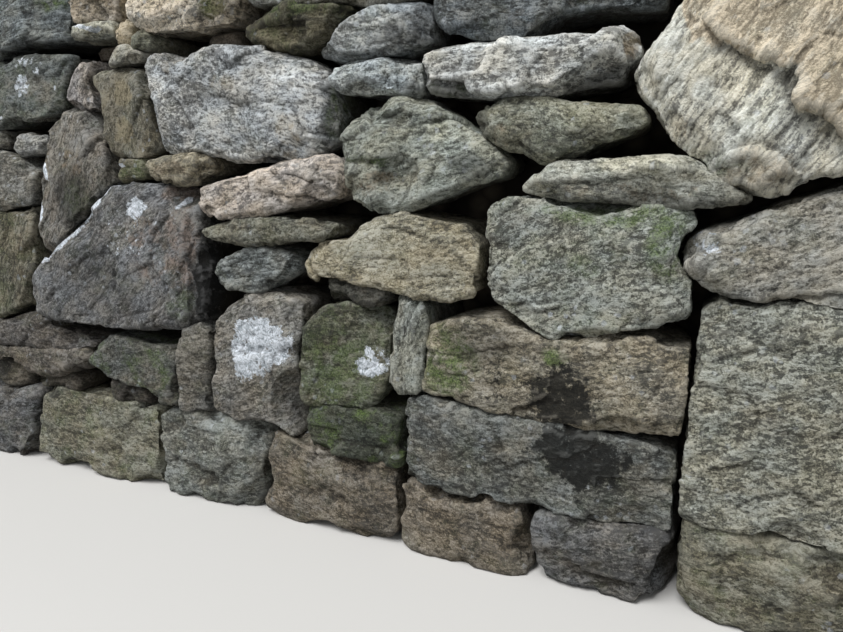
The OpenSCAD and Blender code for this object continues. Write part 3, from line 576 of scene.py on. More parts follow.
LOOKS = {
    "blue_laminated_stone": look("#6f7575", angle=6, layer=9, band=1.3, stretch=2.2, ledge=1.8, stain=0.1),
    "pale_tan_stone": look("#d4c8b6", warm="#6b6342", angle=10, stain=0.5),
    "olive_layered_stone": look("#494636", warm="#6a6349", angle=2, layer=8, ledge=2.4, stretch=2.0,
        stain=0.6, algae=0.3),
    "blue_lumpy_stone": look("#868b8d", angle=-8, lumps=4.5, stain=0.05),
    "dark_long_stone": look("#606669", angle=-3, layer=12, band=1.2, stretch=1.6),
    "tan_boulder": look("#d1cfc2", warm="#d3c2a3", angle=58, layer=18, band=1.05, stretch=3.0, speckle=0.75,
        stain=0.1, ledge=1.6, hackle=1.5, rough=1.2, fold=0.4),
    "lichen_spotted_stone": look("#555956", angle=5, lichen=0.7, algae=0.2),
    "upright_brown_stone": look("#625f54", warm="#746b52", angle=75, band=0.5, ledge=0.5, hackle=0.5,
        rough=0.5, lumps=2.0, stain=0.7),
    "great_speckled_stone": look("#9d9f9f", warm="#8f8674", angle=-8, layer=11, fold=1.3, band=1.3,
        speckle=1.3, stain=0.05),
    "small_blue_stone": look("#a9b0b1", warm="#6e6248", angle=3, speckle=1.3, stain=0.1),
    "long_slab": look("#c2c3bf", angle=1, layer=9, band=1.3, stretch=1.6, speckle=1.2, ledge=1.5,
        stain=0.1),
    "folded_stone": look("#92968b", angle=12, fold=1.0, band=1.2, stretch=1.5, ledge=1.2),
    "pointed_stone": look("#797a6c", angle=-4, stain=0.4),
    "flat_pink_stone": look("#98988c", angle=-3, stretch=1.8, stain=0.3),
    "purple_boulder": look("#78766f", angle=15, stain=0.1),
    "upright_pinkish_stone": look("#6a6761", warm="#6b5c48", angle=60, stain=0.4, lumps=4.0),
    "diamond_stone": look("#636363", warm="#6f6157", angle=40, band=0.7, lichen=0.3, stain=0.15, hackle=0.9,
        ledge=0.9),
    "long_tan_stone": look("#c5bab0", angle=12, layer=11, stretch=1.8, stain=0.3, fold=1.2),
    "upright_olive_stone": look("#5d5a4c", angle=80, stain=0.5, algae=0.2),
    "striped_stone": look("#777b78", angle=8, layer=7, band=1.6, stretch=2.0, ledge=1.8),
    "lichen_stone": look("#73706a", angle=20, crust=2.2),
    "dark_flat_stone": look("#514d49", angle=-4, layer=9),
    "brown_flat_stone": look("#59534b", angle=-3, layer=9),
    "dark_green_stone": look("#575853", angle=10, algae=0.5),
    "long_pink_stone": look("#928c78", angle=5, stain=0.3),
    "square_green_stone": look("#90938a", angle=14, lichen=0.5, algae=0.2, speckle=1.4),
    "mossy_stone": look("#55564a", angle=10, algae=0.35, lichen=0.2),
    "brown_long_stone": look("#878070", angle=4, stain=0.4, algae=0.1),
    "bottom_slab": look("#656763", angle=2, ledge=0.6),
    "corner_grey_stone": look("#8b8981", angle=20),
    "speckled_block": look("#8f8f82", angle=10, speckle=1.4),
}
# Looks of stones in groups, by the place of each stone's middle, along and up in mm
PLACED_LOOKS = {
    (-328, 660): look("#a09585", stain=0.4),
    (-277, 660): look("#554933"),
    (-278, 577): look("#a29f94", angle=25),
    (-360, 543): look("#a69f9b", angle=60),
    (-467, 466): look("#8b8c8a"),
    (-186, 433): look("#857f6e", angle=4, layer=7, ledge=1.8),
    (-166, 172): look("#66645e"),
    (139, 238): look("#80837b", angle=85),
    (68, 128): look("#3f4338", algae=0.8),
    (32, 658): look("#6b6a63"),
    (-331, 611): look("#b2b2a4", angle=2, layer=5),
    (-278, 604): look("#a3977f"),
    (-249, 592): look("#888877"),
    (-56, 357): look("#636256", angle=2, layer=6),
    (-540, 128): look("#38352f"),
    (-434, 125): look("#403b34"),
    (-290, 128): look("#38342f"),
    (72, 290): look("#45433b"),
    (-274, 431): look("#6a6452", algae=0.35),
    (-541, 472): look("#56534c"),
    (-333, 585): look("#4a4137"),
    (-138, 588): look("#4b4238"),
}
# Looks that the stones outside the photo take by turns
COURSE_FORM = dict(chips=1.8, facets=4.2, lumps=2.5, hackle=1.4)
COURSE_LOOKS = [look(**own, **COURSE_FORM) for own in (
    dict(mid="#6b6357", angle=-8, stain=0.4),
    dict(mid="#565656", angle=10, layer=9, band=1.4),
    dict(mid="#595d59", angle=4, lichen=0.5),
    dict(mid="#847b6f", angle=-5, stain=0.5),
    dict(mid="#828485", angle=8, speckle=1.3, band=1.3, stain=0.1),
    dict(mid="#79736b", angle=3),
    dict(mid="#6f716b", angle=6, fold=1.4),
    dict(mid="#716f60", angle=-3, algae=0.25),
)]
# The paler of these looks, which the damp stones near the ground don't take
PALE_COURSE_LOOKS = (3, 4, 5)
DAMP_HEIGHT = 130 * MM

# The boulder's upper layer, as an outline on the face in mm without its first corners
UPPER_LAYER = (
    (463, 528), (497, 512), (500, 500), (502, 480), (522, 480), (537, 458), (640, 450), (660, 700),
    (400, 710))
# Marks on each stone: the kind, an oval (x, z, half width, half height) or an outline in mm, and a
# strength where it isn't 1
MARKS = {
    "blue_laminated_stone": [
        ("shade", ((-484, 652), (-430, 642), (-381, 637), (-366, 641), (-366, 635), (-382, 630),
            (-432, 634))),
        ("shade", (-430, 604, 70, 5)), ("moss", (-400, 655, 30, 14))],
    "pale_tan_stone": [
        ("shade", ((-158, 600), (-96, 600), (-93, 692), (-150, 692)), 0.6),
        ("moss", (-135, 645, 26, 36), 0.55), ("light", (-190, 610, 26, 10)), ("warm", (-128, 625, 26, 22))],
    "olive_layered_stone": [
        ("moss", (-20, 610, 70, 8), 0.6), ("warm", (-40, 582, 34, 14)), ("shade", (-20, 594, 60, 3))],
    "blue_lumpy_stone": [
        ("light", (70, 592, 52, 14)), ("light", (60, 570, 26, 22), 0.5), ("shade", (112, 574, 14, 9)),
        ("shade", (146, 580, 14, 26))],
    "tan_boulder": [
        ("warm", ((400, 575), (412, 540), (436, 545)) + UPPER_LAYER),
        ("raised", ((412, 566), (434, 545)) + UPPER_LAYER),
        ("raised", ((436, 438), (448, 447), (468, 452), (488, 448), (498, 436), (507, 422), (490, 400),
            (430, 410))),
        ("shade", ((448, 449), (468, 454), (489, 450), (500, 437), (510, 423), (514, 428), (503, 442),
            (491, 456), (468, 460)), 0.8),
        ("warm", (474, 434, 36, 20), 0.5), ("shade", (472, 430, 40, 22), 0.55),
        ("moss", (430, 436, 40, 12), 0.7), ("warm", (432, 552, 22, 18), 0.6),
        ("shade", ((433, 541), (462, 524), (494, 508), (498, 500), (500, 480), (494, 482), (490, 502),
            (460, 517), (434, 535))),
        ("shade", (606, 474, 40, 12)), ("light", (470, 495, 20, 44)), ("warm", (408, 470, 8, 24), 0.4)],
    "lichen_spotted_stone": [
        ("lichen", (-459, 579, 26, 8), 0.6), ("lichen", (-429, 566, 12, 8), 0.55),
        ("lichen", (-470, 546, 18, 18), 0.55), ("lichen", (-400, 545, 3, 4), 0.8),
        ("light", ((-478, 494), (-442, 501), (-394, 509), (-394, 502), (-440, 494)))],
    "upright_brown_stone": [
        ("warm", (-280, 530, 16, 20)), ("warm", (-285, 482, 18, 22)), ("light", (-320, 557, 20, 6))],
    "great_speckled_stone": [
        ("shade", (-115, 512, 60, 10), 0.4), ("warm", (-195, 561, 20, 12), 0.5),
        ("warm", (-110, 532, 26, 12), 0.5), ("warm", (-18, 470, 18, 30), 0.55),
        ("shade", ((26, 452), (44, 452), (44, 545), (24, 545))), ("moss", (36, 500, 8, 40)),
        ("light", (-218, 530, 18, 26)), ("light", (-20, 535, 34, 14)), ("worn", (-130, 514, 80, 34), 0.8)],
    "small_blue_stone": [
        ("warm", (134, 530, 5, 22), 0.45), ("light", (99, 515, 22, 5)), ("shade", (134, 514, 14, 8))],
    "long_slab": [
        ("shade", ((146, 524), (175, 522), (200, 520), (206, 503), (146, 500)), 1.2),
        ("moss", ((150, 520), (175, 519), (198, 516), (200, 506), (150, 504)), 0.9),
        ("light", (250, 513, 52, 6)),
        ("shade", ((300, 500), (352, 504), (370, 532), (345, 533), (330, 527), (316, 517),
            (300, 510)), 1.25),
        ("warm", (356, 548, 8, 14)), ("light", (230, 556, 60, 5))],
    "folded_stone": [
        ("worn", (110, 452, 60, 26), 0.8), ("light", (170, 445, 32, 4)), ("light", (182, 468, 34, 16)),
        ("warm", (104, 418, 44, 16), 0.5), ("moss", (92, 440, 34, 5)), ("shade", (110, 441, 44, 4), 0.7),
        ("shade", (205, 435, 26, 12))],
    "pointed_stone": [
        ("warm", (236, 464, 12, 14), 0.5), ("shade", (215, 477, 9, 14)), ("light", (320, 482, 40, 8))],
    "flat_pink_stone": [
        ("light", (350, 433, 64, 7)), ("warm", (360, 411, 86, 12), 0.45), ("shade", (390, 403, 86, 8))],
    "upright_pinkish_stone": [
        ("lichen", (-446, 378, 7, 20)), ("lichen", (-433, 430, 5, 14)), ("warm", (-372, 443, 28, 24), 0.55),
        ("light", ((-460, 352), (-448, 345), (-426, 430), (-418, 500), (-440, 470), (-456, 410))),
        ("shade", (-375, 395, 42, 42)), ("moss", (-366, 392, 30, 30), 0.5), ("warm", (-332, 490, 8, 8)),
        ("light", (-376, 500, 26, 10))],
    "diamond_stone": [
        ("lichen", ((-432, 303), (-423, 301), (-345, 371), (-298, 408), (-301, 415), (-347, 379))),
        ("lichen", (-322, 387, 8, 7)), ("lichen", (-252, 383, 21, 15), 0.85),
        ("lichen", (-240, 360, 70, 40), 0.22), ("lichen", (-186, 390, 5, 7)),
        ("lichen", (-262, 332, 50, 12), 0.36), ("warm", (-188, 402, 30, 12), 0.8),
        ("warm", (-240, 350, 40, 22), 0.5), ("warm", (-182, 330, 30, 75), 0.6),
        ("warm", (-225, 320, 45, 60), 0.35), ("shade", (-350, 300, 60, 50), 0.35),
        ("shade", (-300, 270, 60, 40), 0.3), ("black", (-288, 295, 6, 6)),
        # The outline of shade and the long black mark on the right flank paint its shade
        ("shade", ((-165, 225), (-138, 225), (-138, 352), (-158, 360)), 0.8),
        ("black", (-150, 290, 12, 60)), ("light", (-290, 330, 60, 50), 0.35),
        ("moss", (-180, 262, 20, 24), 0.4)],
    "long_tan_stone": [
        ("shade", ((-36, 428), (-24, 428), (-8, 429), (6, 425), (18, 419), (33, 419), (32, 416), (16, 415),
            (3, 420), (-10, 424), (-26, 423), (-38, 420))),
        ("warm", (-125, 395, 30, 14), 0.45), ("light", (-30, 432, 40, 6)), ("shade", (10, 392, 36, 6))],
    "lichen_stone": [
        ("lichen", ((-103, 215), (-100, 240), (-75, 253), (-50, 260), (-30, 250), (-10, 240), (-10, 210),
            (-25, 200), (-45, 190), (-60, 178), (-90, 168), (-95, 190)), 0.82)],
    "mossy_stone": [("lichen", (95, 215, 24, 20), 0.62), ("moss", (50, 200, 60, 60), 0.6)],
    "square_green_stone": [
        ("moss", (350, 390, 80, 13), 0.9), ("moss", (405, 362, 18, 36)), ("moss", (330, 340, 20, 16), 0.5)],
    "brown_long_stone": [
        ("black", ((278, 196), (290, 226), (312, 238), (338, 228), (352, 206), (350, 182), (318, 170),
            (288, 176))),
        ("moss", (190, 225, 36, 40)), ("shade", (225, 250, 50, 24), 0.7), ("moss", (306, 247, 14, 8)),
        ("light", (390, 235, 34, 24), 0.7), ("black", (245, 215, 40, 34), 0.3)],
    "bottom_slab": [
        ("black", ((288, 150), (300, 176), (330, 180), (368, 176), (386, 152), (372, 126), (338, 108),
            (310, 122)))],
    "corner_grey_stone": [("lichen", (440, 365, 18, 12), 0.4)],
    "pinnings": [
        ("lichen", (-288, 437, 10, 4)), ("moss", (-262, 430, 24, 12), 0.55),
        ("moss", (-290, 425, 24, 8), 0.55)],
    "packing_stones": [("light", (-152, 435, 13, 12)), ("warm", (-190, 433, 34, 12))],
    "flakes": [("lichen", (-333, 615, 30, 3)), ("shade", (-325, 603, 40, 5))],
}


def look_for(node, middle, number):
    """A stone's look and the name of its material."""
    if node in LOOKS:
        return LOOKS[node], node
    if node in PHOTO_GROUPS:
        place = min(PLACED_LOOKS, key=lambda p: math.hypot(p[0] * MM - middle[0], p[1] * MM - middle[2]))
        return PLACED_LOOKS[place], f"stone_at_{place[0]}_{place[1]}"
    place = (int(middle[0] * 900), int(middle[2] * 900))
    index = int(pick(0, len(COURSE_LOOKS) - 0.01, *place, number))
    if middle[2] < DAMP_HEIGHT and index in PALE_COURSE_LOOKS:
        index -= len(PALE_COURSE_LOOKS)
    return COURSE_LOOKS[index], f"course_stone_{index}"


# Materials

class Nodes:
    """Short calls that add shader nodes and link them."""

    def __init__(self, tree):
        self.tree = tree

    def add(self, kind, inputs=(), **settings):
        node = self.tree.nodes.new("ShaderNode" + kind)
        for name, value in settings.items():
            setattr(node, name, value)
        for key, value in dict(inputs).items():
            if isinstance(value, bpy.types.NodeSocket):
                self.tree.links.new(value, node.inputs[key])
            else:
                node.inputs[key].default_value = value
        return node

    def attribute(self, name, output="Fac"):
        return self.add("Attribute", attribute_name=name).outputs[output]

    def math(self, operation, a, b=0.0):
        return self.add("Math", {0: a, 1: b}, operation=operation).outputs[0]

    def times(self, a, b):
        return self.math("MULTIPLY", a, b)

    def plus(self, a, b):
        return self.math("ADD", a, b)

    def noise(self, vector, scale, detail=4.0, rough=0.55, distort=0.0):
        return self.add("TexNoise", {"Vector": vector, "Scale": scale, "Detail": detail,
                                               "Roughness": rough, "Distortion": distort}).outputs["Fac"]

    def range(self, value, low, high, to_low=0.0, to_high=1.0):
        return self.add("MapRange", {"Value": value, "From Min": low, "From Max": high,
                                               "To Min": to_low, "To Max": to_high},
                        interpolation_type="SMOOTHSTEP").outputs["Result"]

    def mix(self, factor, a, b, blend="MIX"):
        node = self.add("Mix", {0: factor}, data_type="RGBA", blend_type=blend)
        for key, value in ((6, a), (7, b)):
            if isinstance(value, bpy.types.NodeSocket):
                self.tree.links.new(value, node.inputs[key])
            else:
                node.inputs[key].default_value = (*value, 1)
        return node.outputs[2]

    def scaled(self, vector, factors):
        return self.add("VectorMath", {0: vector, 1: factors}, operation="MULTIPLY").outputs[0]

    def seen(self):
        """1 where the camera, a reflection or glass sees a surface, 0 for bounced light."""
        paths = self.add("LightPath").outputs
        either = self.math("MAXIMUM", paths["Is Camera Ray"], paths["Is Glossy Ray"])
        return self.math("MAXIMUM", either, paths["Is Transmission Ray"])

    def grey(self, value):
        return self.add("CombineColor", {0: value, 1: value, 2: value}).outputs[0]


def new_material(name):
    """A material and the calls for its nodes."""
    material = bpy.data.materials.new(name)
    material.use_nodes = True
    return material, Nodes(material.node_tree)


# Casts of colour that drift over every stone, colours of what lies on the stones, and the dirt and soil
# colours that also paint shade into hollows and joints
COOL_TINT = (0.96, 1.0, 1.04)
WARM_TINT = (1.05, 1.01, 0.93)
MOSS_DARK, MOSS_PALE = linear("#2c3a1f"), linear("#6b8044")
LICHEN_GREY, LICHEN_WHITE = linear("#8d969c"), linear("#eaf0f8")
BLACK_CRUST_AND_SHADE = linear("#0e0f0d")
DIRT_AND_SHADE = linear("#24211d")
SOIL_AND_SHADE = linear("#4f483c")
# Texture scales in features per metre; pairs are along the layers and through them
FOLDS, BANDS, STREAKS, LINES = 14.0, (16.0, 85.0), (130.0, 330.0), (10.0, 70.0)
GRAINS, CRYSTALS, PATCHES, DRIFT, HUES, STAINS = 520.0, 230.0, 20.0, 8.0, 22.0, 15.0
ALGAE, MOSS, SPOTS, SPOT_FRINGE, SPOT_REGIONS, RUFFLES = 26.0, 60.0, 75.0, 150.0, 13.0, 170.0
FRAYED, TORN, PITS = 55.0, 95.0, 150.0
# How far folds lift the layers, and the depth of the fine relief
FOLD_HEIGHT = 20 * MM
BUMP_DEPTH = 2.6 * MM


def tones(colour):
    """Dark and light tones of a stone's colour, each a little greyer than it."""
    grey = np.full(3, colour.mean())
    dark = 0.33 * (0.7 * colour + 0.3 * grey)
    light = 2.2 * (0.7 * colour + 0.3 * grey) + 0.02
    return dark, light / (1 + 0.9 * colour.mean())


def layered(n, vector, scales, detail, rough, level=1.0):
    """Noise in layers, which a level below 1 stretches along them."""
    along, through = scales
    return n.noise(n.scaled(vector, (along * level, along * level, through)), 1.0, detail, rough)


def around_zero(n, texture, strength):
    return n.times(n.math("SUBTRACT", texture, 0.5), strength)


def minerals(n, look, grain):
    """Textures of the stone itself, and the value that they add up to."""
    fold = n.times(n.noise(grain, FOLDS, 2.0), FOLD_HEIGHT * look["fold"])
    lift = n.add("CombineXYZ", {2: fold}).outputs[0]
    folded = n.add("VectorMath", {0: grain, 1: lift}, operation="ADD").outputs[0]
    level = 1.0 / look["stretch"]
    bands = layered(n, folded, BANDS, 5.0, 0.62, level)
    streaks = layered(n, folded, STREAKS, 4.0, 0.7, level)
    grains = n.noise(folded, GRAINS, 3.0, 0.75)
    flat = n.scaled(folded, (1.0, 1.0, 1.7))
    crystals = n.add("TexVoronoi", {"Vector": flat, "Scale": CRYSTALS})
    crystal = n.add("SeparateColor", {0: crystals.outputs["Color"]}).outputs[0]
    patches = n.noise(grain, PATCHES, 5.0, 0.65)
    drift = n.noise(grain, DRIFT, 3.0, 0.6)
    parts = (
        (bands, 0.9 * look["band"]), (streaks, 1.7 * look["band"]), (grains, 1.9 * look["speckle"]),
        (crystal, 0.6 * look["speckle"]), (patches, 1.2), (drift, 0.9))
    value = 0.5
    for texture, strength in parts:
        value = n.plus(around_zero(n, texture, strength), value)
    return dict(folded=folded, streaks=streaks, grains=grains, patches=patches, value=value)


def bare_stone(n, look, grain, stone):
    """Colour of the clean stone, with thin dark lines along its layers."""
    mid = linear(look["mid"])
    dark, light = tones(mid)
    colour = n.mix(n.range(stone["value"], 0.5, 0.1), mid, dark)
    colour = n.mix(n.range(stone["value"], 0.5, 0.92), colour, light)
    hue = n.noise(n.scaled(grain, (1.0, 1.0, 1.5)), HUES, 4.0, 0.6)
    cast = n.mix(n.range(hue, 0.35, 0.65), COOL_TINT, WARM_TINT)
    colour = n.mix(1.0, colour, cast, "MULTIPLY")
    lines = layered(n, stone["folded"], LINES, 4.0, 0.55)
    thin = n.range(n.math("ABSOLUTE", n.math("SUBTRACT", lines, 0.5)), 0.0, 0.016, 0.6, 0.0)
    return n.mix(n.times(thin, n.range(stone["patches"], 0.56, 0.42)), colour, dark)


def stained(n, look, grain, stone, frayed, colour):
    """Adds warm stains where the stone takes them and where they are marked."""
    warm = linear(look["warm"])
    warm_dark, warm_light = tones(warm)
    spread = n.noise(n.scaled(grain, (1.0, 1.0, 1.7)), STAINS, 5.0, 0.7)
    warm_mark = n.attribute("warm_mark")
    ragged = n.range(n.plus(warm_mark, frayed), 0.25, 0.85)
    marked = n.times(ragged, n.range(warm_mark, 0.0, 0.3))
    marked = n.times(marked, n.range(stone["patches"], 0.3, 0.5, 0.5, 1.0))
    part = n.math("MAXIMUM", marked, n.times(n.range(spread, 0.48, 0.68), look["stain"]))
    deep_tint, pale_tint = 0.3 * warm + 0.7 * warm_dark, 0.3 * warm + 0.7 * warm_light
    return n.mix(part, colour, n.mix(n.range(stone["value"], 0.15, 0.85), deep_tint, pale_tint))


def grown_over(n, look, grain, stone, marks, torn, colour):
    """Adds algae and moss, small spots of lichen, and the marked crusts of lichen."""
    lichen_mark, moss_mark = marks[0], marks[1]
    algae = n.times(n.range(n.noise(grain, ALGAE, 5.0, 0.75), 0.47, 0.66), look["algae"])
    moss = n.times(moss_mark, n.range(n.noise(grain, MOSS, 4.0, 0.7), 0.35, 0.6))
    green = n.mix(n.range(stone["grains"], 0.35, 0.65), MOSS_DARK, MOSS_PALE)
    colour = n.mix(n.math("MAXIMUM", algae, n.times(moss, 0.8)), colour, green)
    spots = n.add("TexVoronoi", {"Vector": grain, "Scale": SPOTS, "Randomness": 1.0})
    fringe = n.times(n.noise(grain, SPOT_FRINGE, 4.0, 0.7), 0.9)
    ragged = n.plus(spots.outputs["Distance"], fringe)
    region = n.range(n.noise(grain, SPOT_REGIONS, 3.0), 0.48, 0.62)
    crusts = n.times(n.range(ragged, 0.68, 0.58), region)
    marked = n.range(n.plus(lichen_mark, torn), 0.45, 0.6)
    marked = n.times(marked, n.range(lichen_mark, 0.0, 0.2))
    ruffles = n.noise(grain, RUFFLES, 5.0, 0.7, 1.2)
    pale = n.mix(n.range(ruffles, 0.36, 0.6), LICHEN_GREY, LICHEN_WHITE)
    small, large = n.times(crusts, look["lichen"]), n.times(marked, 0.95)
    return n.mix(n.math("MAXIMUM", small, large), colour, pale)


def blackened(n, black_mark, frayed, torn, colour):
    """Adds the marked black crusts, and the black that paints shade on one stone's flank."""
    black = n.plus(black_mark, n.plus(frayed, n.times(torn, 0.8)))
    black = n.times(n.range(black, 0.4, 0.7), n.range(black_mark, 0.0, 0.25))
    return n.mix(n.times(black, 0.94), colour, BLACK_CRUST_AND_SHADE)


def dirtied_and_shaded(n, look, colour):
    """Hollows darken with dirt and painted shade, edges pale with wear and a painted highlight, and the
    joints darken with soil and painted shade.
    """
    height = n.attribute("height")
    light = tones(linear(look["mid"]))[1]
    # Dirt and painted shade darken the hollows, and wear and a painted highlight pale the edges
    colour = n.mix(n.range(height, 0.42, 0.1, 0.0, 0.45), colour, DIRT_AND_SHADE)
    colour = n.mix(n.range(height, 0.6, 1.0, 0.0, 0.2), colour, light)
    # Soil and painted shade darken the joints and the sides of stones deep in them
    return n.mix(n.range(n.attribute("deep"), 0.4, 1.0, 0.0, 0.5), colour, SOIL_AND_SHADE)


def fine_relief(n, grain, stone):
    """Bump of streaks, grains and pits."""
    streaks, grains = n.times(stone["streaks"], 0.4), n.times(stone["grains"], 0.6)
    pits = n.times(n.noise(grain, PITS, 6.0, 0.75), 1.4)
    relief = n.plus(n.plus(streaks, grains), pits)
    return n.add("Bump", {"Height": relief, "Strength": 0.9, "Distance": BUMP_DEPTH}).outputs[0]


def gneiss_material(name, look):
    """Banded, speckled and weathered stone in one look's colours."""
    material, n = new_material(name)
    n.tree.nodes.clear()
    grain = n.attribute("grain", "Vector")
    marks = n.add("SeparateColor", {0: n.attribute("marks", "Color")}).outputs
    frayed = around_zero(n, n.noise(grain, FRAYED, 5.0, 0.75), 2.2)
    torn = around_zero(n, n.noise(grain, TORN, 5.0, 0.75), 2.4)
    stone = minerals(n, look, grain)
    colour = bare_stone(n, look, grain, stone)
    colour = stained(n, look, grain, stone, frayed, colour)
    colour = grown_over(n, look, grain, stone, marks, torn, colour)
    colour = blackened(n, marks[2], frayed, torn, colour)
    # Multiplies in each stone's own tone with its painted shade and painted highlights
    colour = n.mix(1.0, colour, n.grey(n.attribute("tone_and_painted_light")), "MULTIPLY")
    colour = dirtied_and_shaded(n, look, colour)
    shader = n.add("BsdfPrincipled", {
        "Base Color": colour, "Roughness": n.range(stone["grains"], 0.3, 0.7, 0.95, 0.8),
        "Normal": fine_relief(n, grain, stone), "Specular IOR Level": 0.3})
    n.add("OutputMaterial", {"Surface": shader.outputs[0]})
    return material


# Building the stones of a node into one piece

# The stones' materials so far, by name
MATERIALS = {}
# Height over the core from which a stone counts as shown from above
CAP_CLEARANCE = 4 * MM
# How a stone's own tone varies, and how far marks of painted shade darken it and marks of painted highlight
# brighten it
TONES = (0.92, 1.08)
PAINTED_SHADE_TONE = 0.6
PAINTED_LIGHT_TONE = 0.35


def face_depth(points):
    """How far points lie behind the nearest outer face, from 0 to 1 where the soil and painted shade are
    darkest.
    """
    nearest = np.minimum(depth_of(points, "front"), depth_of(points, "back"))
    nearest = np.minimum(nearest, HALF_LENGTH - np.abs(points[:, 0]))
    nearest = np.where(points[:, 2] > CORE_TOP + CAP_CLEARANCE, 0.0, nearest)
    return np.clip(nearest / SOIL_AND_SHADE_DEPTH, 0, 1)


def spacing_of(node, side):
    if node in COURSE_NODES or node in END_NODES:
        return MIDDLE if side == "front" else COARSE
    return FINE


def seed_of(middle, number):
    """Seed of a stone's own draws, from its place and its number in the node."""
    return int(abs(middle[0]) * 900) + int(middle[2] * 700) + number * 17


def dress_stone(points, triangles, node, number):
    """One solid of the frame as a weathered stone, with its values for the material."""
    side = side_of(points, node)
    middle = points.mean(axis=0)
    style, name = look_for(node, middle, number)
    if name not in MATERIALS:
        MATERIALS[name] = gneiss_material(name, style)
    if side:
        points, triangles = cut_at_depth(points, triangles, side)
        points = thinned(points, side, middle)
    spacing = spacing_of(node, side)
    points, quads = remeshed(points, triangles, spacing)
    if side:
        points = thinned(points, side, middle, back=True)
    seed = seed_of(middle, number)
    points, grain, height, marks = sculpt(points, quads, style, side, node, spacing, seed)
    # The stone's own tone, darkened by painted shade and brightened by painted highlights where it is
    # marked
    tone_and_painted_light = pick(*TONES, seed) * (1 - PAINTED_SHADE_TONE * mark(marks, "shade"))
    tone_and_painted_light = tone_and_painted_light * (1 + PAINTED_LIGHT_TONE * mark(marks, "light"))
    return name, points, quads, grain, height, marks, tone_and_painted_light, face_depth(points)


def stone_mesh(name, stones):
    """One mesh of weathered stones, with a material slot for each look in it."""
    looks = sorted({stone[0] for stone in stones})
    starts = np.cumsum([0] + [len(stone[1]) for stone in stones])
    quads = np.concatenate([stone[2] + start for stone, start in zip(stones, starts)]).astype(np.int32)
    slots = np.concatenate([np.full(len(stone[2]), looks.index(stone[0]), np.int32) for stone in stones])
    points, grain, height, marks, tone_and_painted_light, deep = (
        np.concatenate([stone[i] for stone in stones]).astype(np.float32) for i in (1, 3, 4, 5, 6, 7))
    mesh = bpy.data.meshes.new(name)
    mesh.vertices.add(len(points))
    mesh.vertices.foreach_set("co", points.ravel())
    mesh.loops.add(len(quads) * 4)
    mesh.loops.foreach_set("vertex_index", quads.ravel())
    mesh.polygons.add(len(quads))
    mesh.polygons.foreach_set("loop_start", np.arange(0, len(quads) * 4, 4, dtype=np.int32))
    mesh.polygons.foreach_set("material_index", slots)
    mesh.polygons.foreach_set("use_smooth", np.ones(len(quads), bool))
    for look_name in looks:
        mesh.materials.append(MATERIALS[look_name])
    mesh.attributes.new("grain", "FLOAT_VECTOR", "POINT").data.foreach_set("vector", grain.ravel())
    colours = np.concatenate([marks[:, :3], np.ones((len(marks), 1), np.float32)], axis=1)
    mesh.attributes.new("marks", "FLOAT_COLOR", "POINT").data.foreach_set("color", colours.ravel())
    warm = mark(marks, "warm").copy()
    for attribute, values in (("height", height), ("tone_and_painted_light", tone_and_painted_light), ("deep", deep), ("warm_mark", warm)):
        mesh.attributes.new(attribute, "FLOAT", "POINT").data.foreach_set("value", values)
    mesh.update()
    mesh.validate()
    return mesh


def dress(node):
    """One piece of weathered stones that stands for a CAD node."""
    name = node + "_stones"
    stones = [dress_stone(*solid, node, i) for i, solid in enumerate(stones_of(node))]
    piece = add_object(name, stone_mesh(name, stones))
    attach(piece, "root")
    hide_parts(node)


RUBBLE_PALE, RUBBLE_DARK = linear("#6a6154"), linear("#2f2a24")


def dress_hearting():
    """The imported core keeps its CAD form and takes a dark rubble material."""
    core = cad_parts["hearting"]
    material, n = new_material("packed_rubble")
    shader = n.tree.nodes["Principled BSDF"]
    where = n.add("TexCoord").outputs["Object"]
    cells = n.add("TexVoronoi", {"Vector": where, "Scale": 35.0}).outputs
    colour = n.mix(n.range(cells["Distance"], 0.1, 0.7), RUBBLE_PALE, RUBBLE_DARK)
    n.tree.links.new(colour, shader.inputs["Base Color"])
    bump = n.add("Bump", {"Height": cells["Distance"], "Strength": 1.0, "Distance": 0.01})
    n.tree.links.new(bump.outputs[0], shader.inputs["Normal"])
    shader.inputs["Roughness"].default_value = 0.95
    core.data.materials.clear()
    core.data.materials.append(material)


for node in sorted(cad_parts):
    if node != "hearting":
        dress(node)
dress_hearting()


# Floor, light and camera

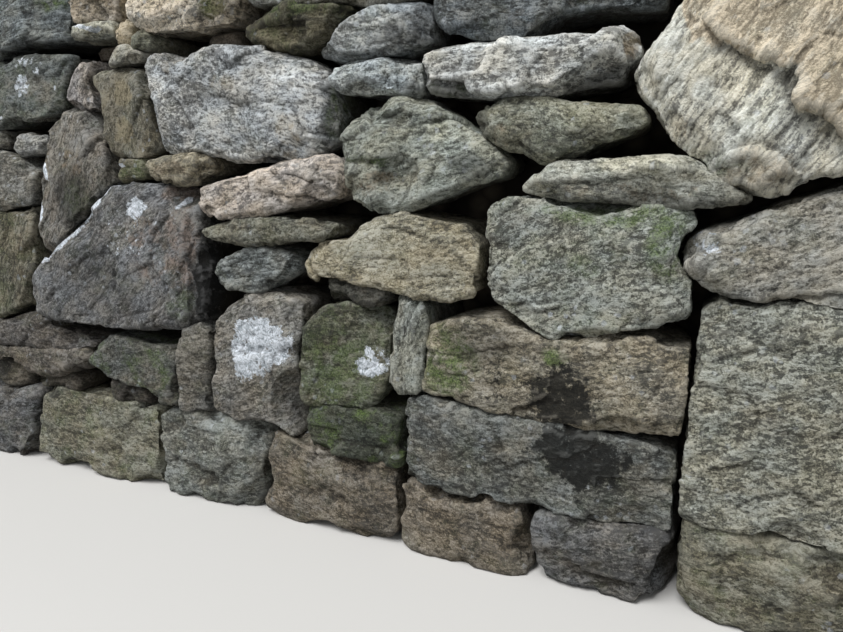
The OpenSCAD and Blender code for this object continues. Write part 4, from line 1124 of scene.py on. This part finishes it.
# Half the floor's width, and its colour as it is seen and as it throws light on the wall
FLOOR_REACH = 8.0
FLOOR_SEEN = (0.62, 0.61, 0.59)
FLOOR_BOUNCED = (0.2, 0.195, 0.185)
SKY = (0.96, 0.98, 1.0, 1)
SKY_SEEN = 0.9
SKY_ON_WALL = 0.55
# Each lamp's name and energy, and its angular width, tilt and turn in degrees
LAMPS = (("soft_key", 3.0, 34, 33, -22), ("soft_fill", 1.3, 60, -52, -30))
# The photo's width and focal length in pixels, and the place and aim of its camera
PHOTO_WIDTH = 843
PHOTO_FOCUS = 682
SENSOR = 36
CAMERA_AT = (0.455, -0.8922, 0.430)
LOOKS_DOWN = 12
LOOKS_ALONG = 24


def add_floor():
    r = FLOOR_REACH
    mesh = mesh_from([(-r, -r, 0), (r, -r, 0), (r, r, 0), (-r, r, 0)], [(0, 1, 2, 3)], "floor")
    floor = add_object("floor", mesh)
    material, n = new_material("pale_floor")
    shader = n.tree.nodes["Principled BSDF"]
    colour = n.mix(n.seen(), FLOOR_BOUNCED, FLOOR_SEEN)
    n.tree.links.new(colour, shader.inputs["Base Color"])
    shader.inputs["Roughness"].default_value = 0.9
    mesh.materials.append(material)


def add_light():
    world = bpy.data.worlds.new("studio")
    bpy.context.scene.world = world
    world.use_nodes = True
    n = Nodes(world.node_tree)
    background = n.tree.nodes["Background"]
    background.inputs["Color"].default_value = SKY
    strength = n.range(n.seen(), 0.0, 1.0, SKY_ON_WALL, SKY_SEEN)
    n.tree.links.new(strength, background.inputs["Strength"])
    for name, energy, width, tilt, turn in LAMPS:
        sun = bpy.data.lights.new(name, "SUN")
        sun.energy = energy
        sun.angle = math.radians(width)
        lamp = add_object(name, sun)
        lamp.rotation_euler = (math.radians(tilt), 0, math.radians(turn))


def add_camera():
    camera = bpy.data.cameras.new("photo_view")
    camera.sensor_width = SENSOR
    camera.lens = SENSOR * PHOTO_FOCUS / PHOTO_WIDTH
    obj = add_object("photo_view", camera)
    obj.location = CAMERA_AT
    obj.rotation_euler = (math.radians(90 - LOOKS_DOWN), 0, math.radians(LOOKS_ALONG))
    bpy.context.scene.camera = obj


add_floor()
add_light()
add_camera()
bpy.context.scene.view_settings.view_transform = "Standard"
